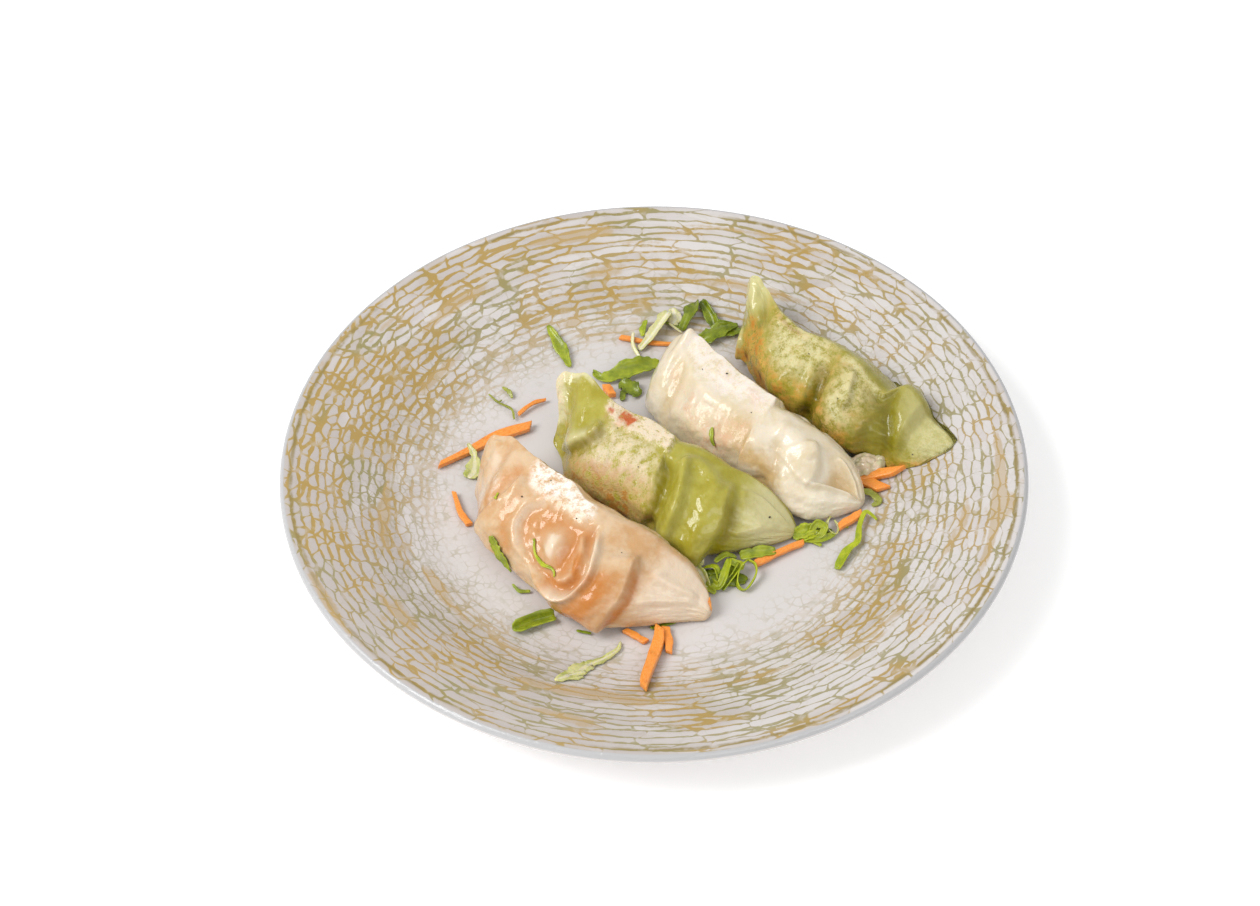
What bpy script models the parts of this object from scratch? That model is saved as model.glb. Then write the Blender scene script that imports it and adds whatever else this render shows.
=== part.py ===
"""Four pan-fried gyoza with shredded carrot and green leaves on a coupe plate.

Blender 4.5, metres, +Z up. The plate's foot ring stands on z = 0, its middle is at x = y = 0.
The diner sits at -Y. Every dumpling is one surface that runs from its upright left wing to its
pointed right wing. A table of stations says how high and how wide it is on the way, and its
pleats are creases drawn on that surface.
"""

from collections import namedtuple
from math import cos, pi, radians, sin

import bmesh
import bpy
import numpy as np
from mathutils import Vector

# ---- driving sizes -------------------------------------------------------------------------

PLATE_RADIUS = 0.105
PLATE_FLOOR = 0.005  # height of the well's floor
PLATE_RIM = 0.022  # height of the lip
GAP = 0.0003  # what lies on or beside another piece stays this far off it

WALL = 0.0038  # thickness of the stoneware
LIP = 0.0015  # radius of the rounded lip
FOOT_RADIUS = 0.0565
FOOT_WIDTH = 0.0050
FOOT_FLARE = 0.0012  # how far the foot ring's sides lean out
RECESS = 0.0012  # the underside inside the foot ring stands this far up
PLATE_STEPS = 56

GIRTH = 0.020  # metres to a radian around a dumpling, for the width of its pleats
WAIST = 0.35  # share of the crest's height at which a dumpling is widest
HEART = 0.4  # share of the crest's height at which its ends close
TIP_BLUNTNESS = 6.0  # the larger, the blunter the ends close
FRONT_HOLLOW = 0.35  # how much the front curves in below a sharp crest
BACK_BOW = 0.8  # how the back falls away from a sharp crest
BELLY_FULLNESS = 0.75  # the smaller, the fuller the sides below the waist
SOLE_FLATNESS = 0.6  # the smaller, the flatter the underside
SLIMMEST = 0.003  # half width that counts at the tips, for the way the surface faces
LAP_EDGE = 0.0002  # how softly a lap's edge breaks
DUMPLING_RINGS = 34
DUMPLING_SIDES = 22

LEAF_THICK = 0.0006
STRIP_STEPS = 5  # lengths of a shred of carrot or leaf
CLING = 0.0009  # how far a leaf on a dumpling stands off its smooth form
HEAP_SIDES = 12
HEAP_RINGS = 7
HEAP_LUMPS = 0.12  # how uneven a heap's outline is, as a share of its size

# The plate's upper side, from its middle to its lip.
PLATE_TOP = [
    (0.000, PLATE_FLOOR),
    (0.050, PLATE_FLOOR),
    (0.060, 0.0056),
    (0.072, 0.0095),
    (0.084, 0.0150),
    (0.094, 0.0188),
    (PLATE_RADIUS - LIP, PLATE_RIM - 0.0002),
]

# ---- dumpling tables -----------------------------------------------------------------------

# along: 0 at the left wing's tip, 1 at the right wing's. crest: height above the well's floor.
# front, back: half widths towards the diner and away. lean: how far the crest stands back from
# the middle. shift: the middle's own place across the length. edge: 1 where the crest is a
# sharp fold, 0 where it is round.
Station = namedtuple("Station", "along crest front back lean shift edge")

# A crease from start over bend to end, each (along, degrees around): 90 is the crest, 180 the
# front and 270 the underside. A "ridge" swells (or, with a negative height, sinks) on both
# sides. A "lap" is a layer of dough that ends in an edge and thins out behind it.
Pleat = namedtuple("Pleat", "kind start bend end width height flip")

# A round swelling or hollow. reach: its half size along and around.
Puff = namedtuple("Puff", "along around reach height")

# sweep: how far the left wing's top stands out past its foot.
Dumpling = namedtuple("Dumpling", "place turn length sweep stations pleats puffs")

ORANGE = Dumpling(
    place=(-0.016, -0.022),
    turn=-36.9,
    length=0.080,
    sweep=0.002,
    stations=[
        Station(0.00, 0.0200, 0.0030, 0.0020, 0.0080, -0.0050, 1.0),
        Station(0.05, 0.0210, 0.0070, 0.0030, 0.0090, -0.0040, 1.0),
        Station(0.10, 0.0220, 0.0130, 0.0040, 0.0080, -0.0030, 1.0),
        Station(0.15, 0.0220, 0.0170, 0.0060, 0.0060, -0.0030, 1.0),
        Station(0.25, 0.0220, 0.0200, 0.0080, 0.0040, -0.0025, 1.0),
        Station(0.40, 0.0220, 0.0220, 0.0090, 0.0030, -0.0025, 1.0),
        Station(0.50, 0.0215, 0.0230, 0.0100, 0.0000, -0.0025, 0.8),
        Station(0.60, 0.0205, 0.0250, 0.0085, 0.0000, -0.0025, 0.3),
        Station(0.70, 0.0185, 0.0240, 0.0080, 0.0015, -0.0020, 0.2),
        Station(0.80, 0.0150, 0.0190, 0.0075, 0.0020, -0.0015, 0.3),
        Station(0.88, 0.0115, 0.0130, 0.0060, 0.0025, -0.0010, 0.3),
        Station(0.95, 0.0075, 0.0070, 0.0030, 0.0025, -0.0010, 0.3),
        Station(1.00, 0.0040, 0.0025, 0.0015, 0.0010, -0.0015, 0.0),
    ],
    pleats=[
        Pleat("lap", (0.75, 110), (0.83, 150), (0.72, 240), 0.010, 0.0028, 1),
        Pleat("lap", (0.12, 195), (0.20, 150), (0.26, 116), 0.006, 0.0012, 1),
        Pleat("ridge", (0.59, 100), (0.67, 138), (0.60, 166), 0.0015, 0.0014, 1),
        Pleat("ridge", (0.64, 152), (0.56, 180), (0.48, 138), 0.0015, 0.0012, 1),
        Pleat("ridge", (0.30, 138), (0.30, 112), (0.42, 117), 0.0012, 0.0010, 1),
    ],
    puffs=[
        Puff(0.575, 143, (0.0060, 0.0060), -0.0024),
        Puff(0.56, 124, (0.0040, 0.0050), -0.0014),
        Puff(0.47, 139, (0.0040, 0.0040), 0.0016),
    ],
)

GREEN = Dumpling(
    place=(0.006, 0.002),
    turn=-27.0,
    length=0.078,
    sweep=0.004,
    stations=[
        Station(0.00, 0.0220, 0.0030, 0.0020, 0.0090, -0.0030, 1.0),
        Station(0.05, 0.0250, 0.0062, 0.0030, 0.0110, -0.0030, 1.0),
        Station(0.10, 0.0250, 0.0110, 0.0040, 0.0110, -0.0030, 1.0),
        Station(0.16, 0.0240, 0.0160, 0.0060, 0.0080, -0.0025, 1.0),
        Station(0.25, 0.0225, 0.0180, 0.0080, 0.0040, -0.0020, 1.0),
        Station(0.40, 0.0220, 0.0190, 0.0090, 0.0030, -0.0020, 1.0),
        Station(0.505, 0.0222, 0.0200, 0.0090, 0.0005, -0.0020, 1.0),
        Station(0.525, 0.0208, 0.0202, 0.0090, -0.0010, -0.0020, 0.5),
        Station(0.62, 0.0205, 0.0230, 0.0068, 0.0000, -0.0020, 0.3),
        Station(0.72, 0.0185, 0.0235, 0.0054, -0.0005, -0.0020, 0.2),
        Station(0.80, 0.0155, 0.0190, 0.0044, 0.0015, -0.0020, 0.3),
        Station(0.88, 0.0120, 0.0135, 0.0038, 0.0020, -0.0020, 0.3),
        Station(0.95, 0.0080, 0.0080, 0.0035, 0.0010, -0.0020, 0.3),
        Station(1.00, 0.0040, 0.0025, 0.0015, 0.0000, -0.0020, 0.0),
    ],
    pleats=[
        Pleat("ridge", (0.04, 198), (0.13, 150), (0.25, 120), 0.0022, 0.0015, 1),
        Pleat("ridge", (0.10, 212), (0.19, 160), (0.31, 118), 0.0018, -0.0022, 1),
        Pleat("ridge", (0.46, 114), (0.61, 145), (0.52, 210), 0.0022, -0.0028, 1),
        Pleat("ridge", (0.54, 108), (0.67, 140), (0.62, 210), 0.0035, 0.0016, 1),
        Pleat("lap", (0.77, 103), (0.84, 145), (0.73, 232), 0.010, 0.0028, 1),
        Pleat("lap", (0.78, 112), (0.88, 108), (0.995, 114), 0.006, 0.0010, 1),
    ],
    puffs=[
        Puff(0.36, 150, (0.0120, 0.0100), 0.0015),
        Puff(0.33, 150, (0.0020, 0.0020), -0.0004),
    ],
)

WHITE = Dumpling(
    place=(0.031, 0.018),
    turn=-39.0,
    length=0.076,
    sweep=-0.002,
    stations=[
        Station(0.00, 0.0200, 0.0080, 0.0020, 0.0070, -0.0010, 1.0),
        Station(0.05, 0.0215, 0.0130, 0.0040, 0.0070, -0.0010, 1.0),
        Station(0.12, 0.0220, 0.0150, 0.0060, 0.0075, -0.0010, 1.0),
        Station(0.22, 0.0220, 0.0170, 0.0080, 0.0060, -0.0010, 1.0),
        Station(0.35, 0.0220, 0.0180, 0.0090, 0.0035, -0.0010, 1.0),
        Station(0.50, 0.0218, 0.0172, 0.0090, 0.0018, -0.0010, 1.0),
        Station(0.56, 0.0222, 0.0172, 0.0090, 0.0015, -0.0010, 1.0),
        Station(0.58, 0.0208, 0.0172, 0.0090, -0.0010, -0.0015, 0.6),
        Station(0.70, 0.0190, 0.0170, 0.0090, -0.0010, -0.0010, 0.3),
        Station(0.80, 0.0165, 0.0186, 0.0080, 0.0000, -0.0010, 0.3),
        Station(0.88, 0.0130, 0.0170, 0.0065, 0.0010, -0.0010, 0.3),
        Station(0.95, 0.0090, 0.0110, 0.0040, 0.0015, -0.0015, 0.3),
        Station(1.00, 0.0050, 0.0030, 0.0020, 0.0000, -0.0020, 0.0),
    ],
    pleats=[
        Pleat("ridge", (0.15, 106), (0.12, 145), (0.17, 200), 0.0022, -0.0009, 1),
        Pleat("ridge", (0.66, 118), (0.71, 145), (0.62, 185), 0.0025, -0.0014, 1),
        Pleat("ridge", (0.64, 103), (0.75, 103), (0.83, 112), 0.0040, 0.0012, 1),
        Pleat("lap", (0.78, 95), (0.86, 106), (0.85, 136), 0.006, 0.0016, 1),
        Pleat("ridge", (0.84, 136), (0.92, 125), (0.985, 138), 0.0013, 0.0013, 1),
    ],
    puffs=[
        Puff(0.08, 98, (0.0030, 0.0040), 0.0015),
        Puff(0.58, 131, (0.0050, 0.0060), 0.0010),
        Puff(0.49, 152, (0.0060, 0.0060), 0.0009),
        Puff(0.915, 114, (0.0050, 0.0060), -0.0030),
    ],
)

REAR = Dumpling(
    place=(0.058, 0.036),
    turn=-39.0,
    length=0.080,
    sweep=0.003,
    stations=[
        Station(0.00, 0.0255, 0.0030, 0.0020, 0.0060, 0.0000, 1.0),
        Station(0.06, 0.0260, 0.0085, 0.0040, 0.0045, 0.0000, 1.0),
        Station(0.14, 0.0240, 0.0110, 0.0060, 0.0010, -0.0005, 1.0),
        Station(0.22, 0.0230, 0.0140, 0.0080, -0.0020, -0.0010, 1.0),
        Station(0.32, 0.0230, 0.0170, 0.0090, -0.0030, -0.0015, 1.0),
        Station(0.42, 0.0230, 0.0180, 0.0100, -0.0020, -0.0015, 0.8),
        Station(0.55, 0.0225, 0.0190, 0.0100, -0.0030, -0.0015, 0.5),
        Station(0.64, 0.0200, 0.0190, 0.0100, -0.0050, -0.0015, 0.3),
        Station(0.70, 0.0180, 0.0180, 0.0090, -0.0050, -0.0015, 0.3),
        Station(0.74, 0.0180, 0.0170, 0.0080, 0.0000, -0.0010, 0.3),
        Station(0.80, 0.0175, 0.0160, 0.0060, 0.0020, -0.0030, 0.3),
        Station(0.88, 0.0155, 0.0140, 0.0045, 0.0010, -0.0045, 0.3),
        Station(0.95, 0.0130, 0.0090, 0.0035, 0.0010, -0.0050, 0.3),
        Station(1.00, 0.0110, 0.0030, 0.0020, 0.0000, -0.0050, 0.0),
    ],
    pleats=[
        Pleat("ridge", (0.48, 114), (0.52, 150), (0.44, 218), 0.0024, -0.0028, 1),
        Pleat("lap", (0.59, 98), (0.65, 115), (0.62, 136), 0.005, 0.0012, 1),
        Pleat("ridge", (0.69, 92), (0.78, 130), (0.80, 200), 0.0030, -0.0022, 1),
        Pleat("ridge", (0.05, 108), (0.13, 122), (0.13, 168), 0.0025, -0.0012, 1),
    ],
    puffs=[
        Puff(0.33, 150, (0.0100, 0.0100), 0.0012),
        Puff(0.62, 150, (0.0100, 0.0100), 0.0016),
        Puff(0.05, 190, (0.0040, 0.0060), 0.0030),
    ],
)

DUMPLINGS = {"gyoza_orange": ORANGE, "gyoza_green": GREEN, "gyoza_white": WHITE, "gyoza_rear": REAR}

# ---- garnish tables ------------------------------------------------------------------------

# A strip runs through its points (x, y, how far it is lifted off the plate). It is as wide as
# first and last say at its ends, and rolls about its own line from one angle to the other.
Strip = namedtuple("Strip", "points first last thick roll", defaults=(LEAF_THICK, (0, 0)))

CARROTS = [
    Strip(
        [(-0.061, 0.009, 0), (-0.049, 0.019, 0), (-0.033, 0.026, 0)],
        0.0017, 0.0036, 0.0022,
    ),
    Strip(
        [(-0.0405, 0.0295, 0), (-0.036, 0.033, 0), (-0.032, 0.0355, 0)],
        0.0013, 0.0012, 0.0011, (20, 20),
    ),
    Strip(
        [(-0.0565, -0.003, 0), (-0.0545, -0.009, 0), (-0.0525, -0.014, 0)],
        0.0015, 0.0018, 0.0015,
    ),
    Strip(
        [(0.0015, -0.0525, 0), (-0.0005, -0.061, 0), (-0.003, -0.0765, 0)],
        0.0026, 0.0030, 0.0024,
    ),
    Strip(
        [(-0.0085, -0.0525, 0), (-0.0055, -0.0545, 0), (-0.0028, -0.0565, 0)],
        0.0018, 0.0018, 0.0016,
    ),
    Strip(
        [(0.0045, -0.0525, 0), (0.0045, -0.0560, 0), (0.0039, -0.0600, 0)],
        0.0022, 0.0024, 0.0016,
    ),
    Strip(
        [(0.0295, -0.0290, 0), (0.0355, -0.0252, 0), (0.0412, -0.0216, 0)],
        0.0020, 0.0018, 0.0018,
    ),
    Strip(
        [(0.0525, -0.0165, 0), (0.0558, -0.0138, 0), (0.0590, -0.0110, 0)],
        0.0024, 0.0024, 0.0018,
    ),
    Strip(
        [(0.0592, 0.0024, 0), (0.0652, 0.0018, 0), (0.0715, 0.0008, 0)],
        0.0028, 0.0022, 0.0024,
    ),
    Strip(
        [(0.0610, -0.0010, 0), (0.0635, -0.0022, 0), (0.0660, -0.0036, 0)],
        0.0032, 0.0030, 0.0018,
    ),
    Strip(
        [(-0.0140, 0.0400, 0), (-0.0130, 0.0385, 0), (-0.0122, 0.0370, 0)],
        0.0022, 0.0022, 0.0024,
    ),
    Strip(
        [(-0.0100, 0.0610, 0), (-0.0010, 0.0590, 0), (0.0080, 0.0580, 0)],
        0.0016, 0.0012, 0.0012,
    ),
]

LEAVES = [
    Strip(
        [(-0.0315, 0.0625, 0), (-0.0280, 0.0570, 0.001), (-0.0245, 0.0500, 0)],
        0.0028, 0.0030, roll=(25, 10),
    ),
    Strip(
        [(0.0055, 0.0700, 0), (0.0000, 0.0640, 0.006), (-0.0040, 0.0555, 0)],
        0.0030, 0.0018, roll=(30, 0),
    ),
    Strip(
        [(0.0135, 0.0715, 0), (0.0125, 0.0675, 0.002), (0.0095, 0.0625, 0)],
        0.0040, 0.0014, roll=(35, 10),
    ),
    Strip(
        [(0.0160, 0.0730, 0), (0.0195, 0.0680, 0.001), (0.0200, 0.0640, 0)],
        0.0016, 0.0020, roll=(30, 0),
    ),
    Strip(
        [(0.0150, 0.0590, 0), (0.0200, 0.0600, 0.001), (0.0255, 0.0635, 0)],
        0.0030, 0.0034, roll=(0, 30),
    ),
    Strip(
        [(-0.0150, 0.0430, 0), (-0.0080, 0.0470, 0.001), (0.0005, 0.0500, 0)],
        0.0026, 0.0042, roll=(10, 35),
    ),
    Strip(
        [(-0.0105, 0.0400, 0), (-0.0075, 0.0385, 0), (-0.0045, 0.0360, 0)],
        0.0018, 0.0020,
    ),
    Strip(
        [(-0.0530, 0.0100, 0), (-0.0495, 0.0090, 0), (-0.0505, 0.0030, 0)],
        0.0010, 0.0034, roll=(0, 10),
    ),
    Strip(
        [(-0.0490, 0.0360, 0), (-0.0440, 0.0345, 0), (-0.0415, 0.0300, 0)],
        0.0009, 0.0009,
    ),
    Strip(
        [(-0.0400, -0.0375, 0), (-0.0375, -0.0395, 0), (-0.0345, -0.0395, 0)],
        0.0009, 0.0009,
    ),
    Strip(
        [(-0.0370, -0.0525, 0), (-0.0330, -0.0500, 0.001), (-0.0280, -0.0475, 0)],
        0.0034, 0.0032, roll=(20, 10),
    ),
    Strip(
        [(-0.0260, -0.0750, 0), (-0.0180, -0.0670, 0), (-0.0095, -0.0590, 0)],
        0.0036, 0.0020, roll=(5, 0),
    ),
    Strip(
        [(0.0630, -0.0130, 0), (0.0570, -0.0100, 0.002), (0.0575, -0.0235, 0), (0.0510, -0.0310, 0)],
        0.0010, 0.0032,
    ),
    Strip(
        [(0.0612, -0.0050, 0), (0.0635, -0.0062, 0.001), (0.0655, -0.0082, 0)],
        0.0024, 0.0018, roll=(10, 0),
    ),
]

# The leaf that clings to the front dumpling's side, as (along, degrees around) marks.
LEAF_LINE = [(0.08, 186), (0.17, 190), (0.29, 186)]
LEAF_WIDTH = 0.0028

# A mound of loose shreds: its middle, half sizes, height and turn.
Heap = namedtuple("Heap", "place reach height turn")
HEAPS = [
    Heap((0.0195, -0.0345), (0.0090, 0.0045), 0.0050, -6),
    Heap((0.0458, -0.0178), (0.0055, 0.0030), 0.0040, 12),
]

CABBAGE = Strip(
    [(0.0578, 0.0062, 0), (0.0608, 0.0072, 0), (0.0648, 0.0062, 0)],
    0.0044, 0.0050, 0.0008, (50, 50),
)

# ---- curves through tables -----------------------------------------------------------------


def flow(at, values, x):
    """A smooth curve through the table's points that never overshoots them."""
    at = np.asarray(at, float)
    values = np.asarray(values, float)
    step = np.diff(at)
    slope = np.diff(values) / step
    tangent = np.zeros(len(at))
    tangent[0], tangent[-1] = slope[0], slope[-1]
    turning = slope[:-1] * slope[1:] <= 0
    weight_a = 2 * step[1:] + step[:-1]
    weight_b = step[1:] + 2 * step[:-1]
    safe = np.where(turning, 1.0, slope[:-1]), np.where(turning, 1.0, slope[1:])
    mean = (weight_a + weight_b) / (weight_a / safe[0] + weight_b / safe[1])
    tangent[1:-1] = np.where(turning, 0.0, mean)
    i = np.clip(np.searchsorted(at, x, side="right") - 1, 0, len(at) - 2)
    t = (x - at[i]) / step[i]
    rise = t * t * (3 - 2 * t)
    bow_in = t * (1 - t) ** 2 * tangent[i]
    bow_out = t * t * (t - 1) * tangent[i + 1]
    return values[i] * (1 - rise) + values[i + 1] * rise + step[i] * (bow_in + bow_out)


def ease(low, high, x):
    """0 below low, 1 above high, and a smooth step between."""
    t = np.clip((x - low) / (high - low), 0, 1)
    return t * t * (3 - 2 * t)


def plate_height(radius):
    """Height of the plate's upper side at this distance from its middle."""
    return flow([at for at, _ in PLATE_TOP], [height for _, height in PLATE_TOP], radius)


# ---- dumplings -----------------------------------------------------------------------------


def crease_distance(pleat, along, around, length, steps=28):
    """Distance to the pleat's line, the side of it, and the share of the way along it."""
    marks = [np.array([p[0] * length, radians(p[1]) * GIRTH]) for p in pleat[1:4]]
    near = np.full(along.shape, 1e9)
    side = np.zeros(along.shape)
    way = np.zeros(along.shape)
    x = along * length
    y = around * GIRTH
    t = np.linspace(0, 1, steps + 1)[:, None]
    line = (1 - t) ** 2 * marks[0] + 2 * t * (1 - t) * marks[1] + t * t * marks[2]
    for i in range(steps):
        run = line[i + 1] - line[i]
        dx = x - line[i][0]
        dy = y - line[i][1]
        share = np.clip((dx * run[0] + dy * run[1]) / (run @ run), 0, 1)
        off = np.hypot(dx - share * run[0], dy - share * run[1])
        closer = off < near
        near = np.where(closer, off, near)
        side = np.where(closer, np.sign(run[0] * dy - run[1] * dx), side)
        way = np.where(closer, (i + share) / steps, way)
    return near, side, way


def pleat_relief(pleat, along, around, length):
    """How far the pleat lifts the surface."""
    near, side, way = crease_distance(pleat, along, around, length)
    fade = ease(0, 0.2, way) * ease(0, 0.2, 1 - way)
    if pleat.kind == "ridge":
        return pleat.height * np.exp(-((near / pleat.width) ** 2)) * fade
    behind = near * side * pleat.flip
    rise = 1 / (1 + np.exp(np.clip(-behind / LAP_EDGE, -40, 40)))
    return pleat.height * rise * np.exp(-np.maximum(behind, 0) / pleat.width) * fade


def dumpling_surface(form, along, around):
    """World places of the surface points at these shares of the length and angles around."""
    column = {
        name: flow([s.along for s in form.stations], [getattr(s, name) for s in form.stations], along)
        for name in Station._fields[1:]
    }
    crest, edge = column["crest"], column["edge"]
    across, up = np.cos(around), np.sin(around)
    width = np.where(across > 0, column["back"], column["front"])
    closing = np.maximum(1 - np.abs(2 * along - 1) ** TIP_BLUNTNESS, 0) ** (1 / TIP_BLUNTNESS)
    waist = WAIST * crest
    upper_front = -np.abs(across) ** (1 + FRONT_HOLLOW * edge)
    upper_back = (1 - edge) * np.abs(across) + edge * np.clip(1 - up, 0, 1) ** BACK_BOW
    upper = np.where(across > 0, upper_back, upper_front)
    lower = np.sign(across) * np.abs(across) ** BELLY_FULLNESS
    y = width * np.where(up >= 0, upper, lower)
    rise = np.where(up >= 0, (crest - waist) * np.abs(up), -waist * np.abs(up) ** SOLE_FLATNESS)
    z = waist + rise
    heart = HEART * crest
    y = y * closing
    z = heart + (z - heart) * closing

    relief = np.zeros(along.shape)
    for pleat in form.pleats:
        relief += pleat_relief(pleat, along, around, form.length)
    for puff in form.puffs:
        off_x = (along - puff.along) * form.length / puff.reach[0]
        off_y = (around - radians(puff.around)) * GIRTH / puff.reach[1]
        relief += puff.height * np.exp(-(off_x**2 + off_y**2))
    relief *= closing * ease(-1.0, -0.75, up)
    out_y = across / np.maximum(width, SLIMMEST)
    out_z = up / np.maximum(np.where(up >= 0, crest - waist, waist), SLIMMEST)
    out = np.hypot(out_y, out_z)
    y = y + relief * out_y / out
    z = z + relief * out_z / out

    y = y + column["lean"] * z / crest + column["shift"]
    x = form.length * (along - 0.5) - form.sweep * (1 - ease(0, 0.16, along)) * z / crest
    turn = radians(form.turn)
    world_x = form.place[0] + x * cos(turn) - y * sin(turn)
    world_y = form.place[1] + x * sin(turn) + y * cos(turn)
    resting = plate_height(np.hypot(world_x, world_y)) + GAP
    return world_x, world_y, np.maximum(z + PLATE_FLOOR, resting)


def dumpling(name, form, dough):
    """A UV sphere whose poles become the two wings' tips; the mapping turns it inside out."""
    mesh = bmesh.new()
    bmesh.ops.create_uvsphere(mesh, u_segments=DUMPLING_SIDES, v_segments=DUMPLING_RINGS, radius=1)
    ball = np.array([v.co[:] for v in mesh.verts])
    along = (1 - ball[:, 2]) / 2
    around = np.arctan2(ball[:, 1], ball[:, 0]) % (2 * pi)
    places = np.stack(dumpling_surface(form, along, around), -1)
    for vert, place in zip(mesh.verts, places):
        vert.co = place
    bmesh.ops.reverse_faces(mesh, faces=mesh.faces)
    return finish_mesh(name, mesh, dough)


# ---- plate ---------------------------------------------------------------------------------


def plate(glaze):
    """The underside, the lip and the upper side as one profile, spun once round the middle."""
    inner_foot = FOOT_RADIUS - FOOT_WIDTH / 2
    outer_foot = FOOT_RADIUS + FOOT_WIDTH / 2
    points = [(0.0, RECESS), (inner_foot - FOOT_FLARE, RECESS), (inner_foot, 0.0)]
    points += [(outer_foot, 0.0), (outer_foot + FOOT_FLARE, RECESS)]
    wall_rings = [at for at, _ in PLATE_TOP if outer_foot + WALL < at < PLATE_RADIUS - WALL]
    points += [(at, plate_height(at) - WALL) for at in [0.066, *wall_rings]]
    for turn in (-70, 0, 70):
        across = PLATE_RADIUS - LIP + LIP * cos(radians(turn))
        points.append((across, PLATE_RIM - LIP + LIP * sin(radians(turn))))
    for at in (0.103, 0.099, 0.094, 0.089, 0.084, 0.078, 0.072, 0.066, 0.060, 0.055, 0.050, 0.0):
        points.append((at, plate_height(at)))
    mesh = bmesh.new()
    verts = [mesh.verts.new((at, 0, height)) for at, height in points]
    edges = [mesh.edges.new(pair) for pair in zip(verts, verts[1:])]
    profile = verts + edges
    bmesh.ops.spin(mesh, geom=profile, cent=(0, 0, 0), axis=(0, 0, 1), angle=2 * pi, steps=PLATE_STEPS)
    bmesh.ops.remove_doubles(mesh, verts=mesh.verts, dist=1e-6)
    bmesh.ops.recalc_face_normals(mesh, faces=mesh.faces)
    return finish_mesh("plate", mesh, glaze)


# ---- garnish -------------------------------------------------------------------------------


def curve_point(points, share):
    """A point of the Bezier curve that the strip's points control."""
    ring = [Vector(p) for p in points]
    while len(ring) > 1:
        ring = [a.lerp(b, share) for a, b in zip(ring, ring[1:])]
    return ring[0]


def rest_height(place):
    """The plate's upper side under a place, and the gap that keeps a piece off it."""
    return float(plate_height(Vector(place[:2]).length)) + GAP


def close_tube(mesh, rings):
    """Sides between the rings of corners, and a cap at either end."""
    for near, far in zip(rings, rings[1:]):
        for i in range(len(near)):
            j = (i + 1) % len(near)
            mesh.faces.new((near[i], near[j], far[j], far[i]))
    mesh.faces.new(rings[0][::-1])
    mesh.faces.new(rings[-1])
    bmesh.ops.recalc_face_normals(mesh, faces=mesh.faces)


def strip(name, form, finish):
    """A thin bar along a curve that follows the plate's surface below it."""
    mesh = bmesh.new()
    rings = []
    for step in range(STRIP_STEPS + 1):
        share = step / STRIP_STEPS
        middle = curve_point(form.points, share)
        behind = curve_point(form.points, max(share - 0.02, 0))
        heading = curve_point(form.points, min(share + 0.02, 1)) - behind
        side = Vector((-heading.y, heading.x, 0)).normalized()
        roll = radians(form.roll[0] * (1 - share) + form.roll[1] * share)
        half_width = (form.first * (1 - share) + form.last * share) / 2
        half_thick = form.thick / 2
        across = side * cos(roll) + Vector((0, 0, sin(roll)))
        normal = Vector((0, 0, cos(roll))) - side * sin(roll)
        middle.z += rest_height(middle) + half_width * abs(sin(roll)) + half_thick * cos(roll)
        corners = []
        for a, b in ((-1, -1), (1, -1), (1, 1), (-1, 1)):
            corner = middle + across * half_width * a + normal * half_thick * b
            corner.z = max(corner.z, rest_height(corner) + (form.thick if b > 0 else 0))
            corners.append(mesh.verts.new(corner))
        rings.append(corners)
    close_tube(mesh, rings)
    return finish_mesh(name, mesh, finish)


def heap(name, form, finish):
    """A lumpy mound, flat below."""
    mesh = bmesh.new()
    bmesh.ops.create_uvsphere(mesh, u_segments=HEAP_SIDES, v_segments=HEAP_RINGS, radius=1)
    turn = radians(form.turn)
    for vert in mesh.verts:
        lump = 1 + HEAP_LUMPS * sin(5 * vert.co.x + 2) * cos(4 * vert.co.y)
        x = vert.co.x * form.reach[0] * lump
        y = vert.co.y * form.reach[1] * lump
        world_x = form.place[0] + x * cos(turn) - y * sin(turn)
        world_y = form.place[1] + x * sin(turn) + y * cos(turn)
        below = HEAP_LUMPS * (1 + min(vert.co.z, 0))
        rise = form.height * (max(vert.co.z, 0) * lump + below)
        vert.co = (world_x, world_y, rest_height((world_x, world_y)) + rise)
    bmesh.ops.recalc_face_normals(mesh, faces=mesh.faces)
    return finish_mesh(name, mesh, finish)


def leaf_on_dumpling(name, form, finish, line, width):
    """A leaf strip that hugs a dumpling's side along a line of (along, around) marks."""
    mesh = bmesh.new()
    rings = []
    for step in range(STRIP_STEPS + 1):
        share = step / STRIP_STEPS
        along, around = curve_point([(a, radians(b), 0) for a, b in line], share)[:2]
        spread = width / 2 / GIRTH * (0.4 + 0.6 * sin(pi * share))
        marks = np.array([along, along, along + 0.01]), np.array([around - spread, around + spread, around])
        places = np.stack(dumpling_surface(form, *marks), -1)
        top, foot, ahead = (Vector(place) for place in places)
        out = (ahead - (top + foot) / 2).cross(top - foot).normalized()
        inner = [foot + out * CLING, top + out * CLING]
        outer = [inner[1] + out * LEAF_THICK, inner[0] + out * LEAF_THICK]
        rings.append([mesh.verts.new(p) for p in inner + outer])
    close_tube(mesh, rings)
    return finish_mesh(name, mesh, finish)


# ---- scene ---------------------------------------------------------------------------------


def finish_mesh(name, mesh, finish):
    """An object of this name and finish from the bmesh."""
    data = bpy.data.meshes.new(name)
    mesh.to_mesh(data)
    mesh.free()
    data.materials.append(finish)
    piece = bpy.data.objects.new(name, data)
    bpy.context.scene.collection.objects.link(piece)
    return piece


def material(name, colour, roughness):
    made = bpy.data.materials.new(name)
    made.use_nodes = True
    shader = made.node_tree.nodes["Principled BSDF"]
    shader.inputs["Base Color"].default_value = (*colour, 1)
    shader.inputs["Roughness"].default_value = roughness
    return made


def clear_scene():
    for piece in list(bpy.data.objects):
        bpy.data.objects.remove(piece, do_unlink=True)


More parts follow.
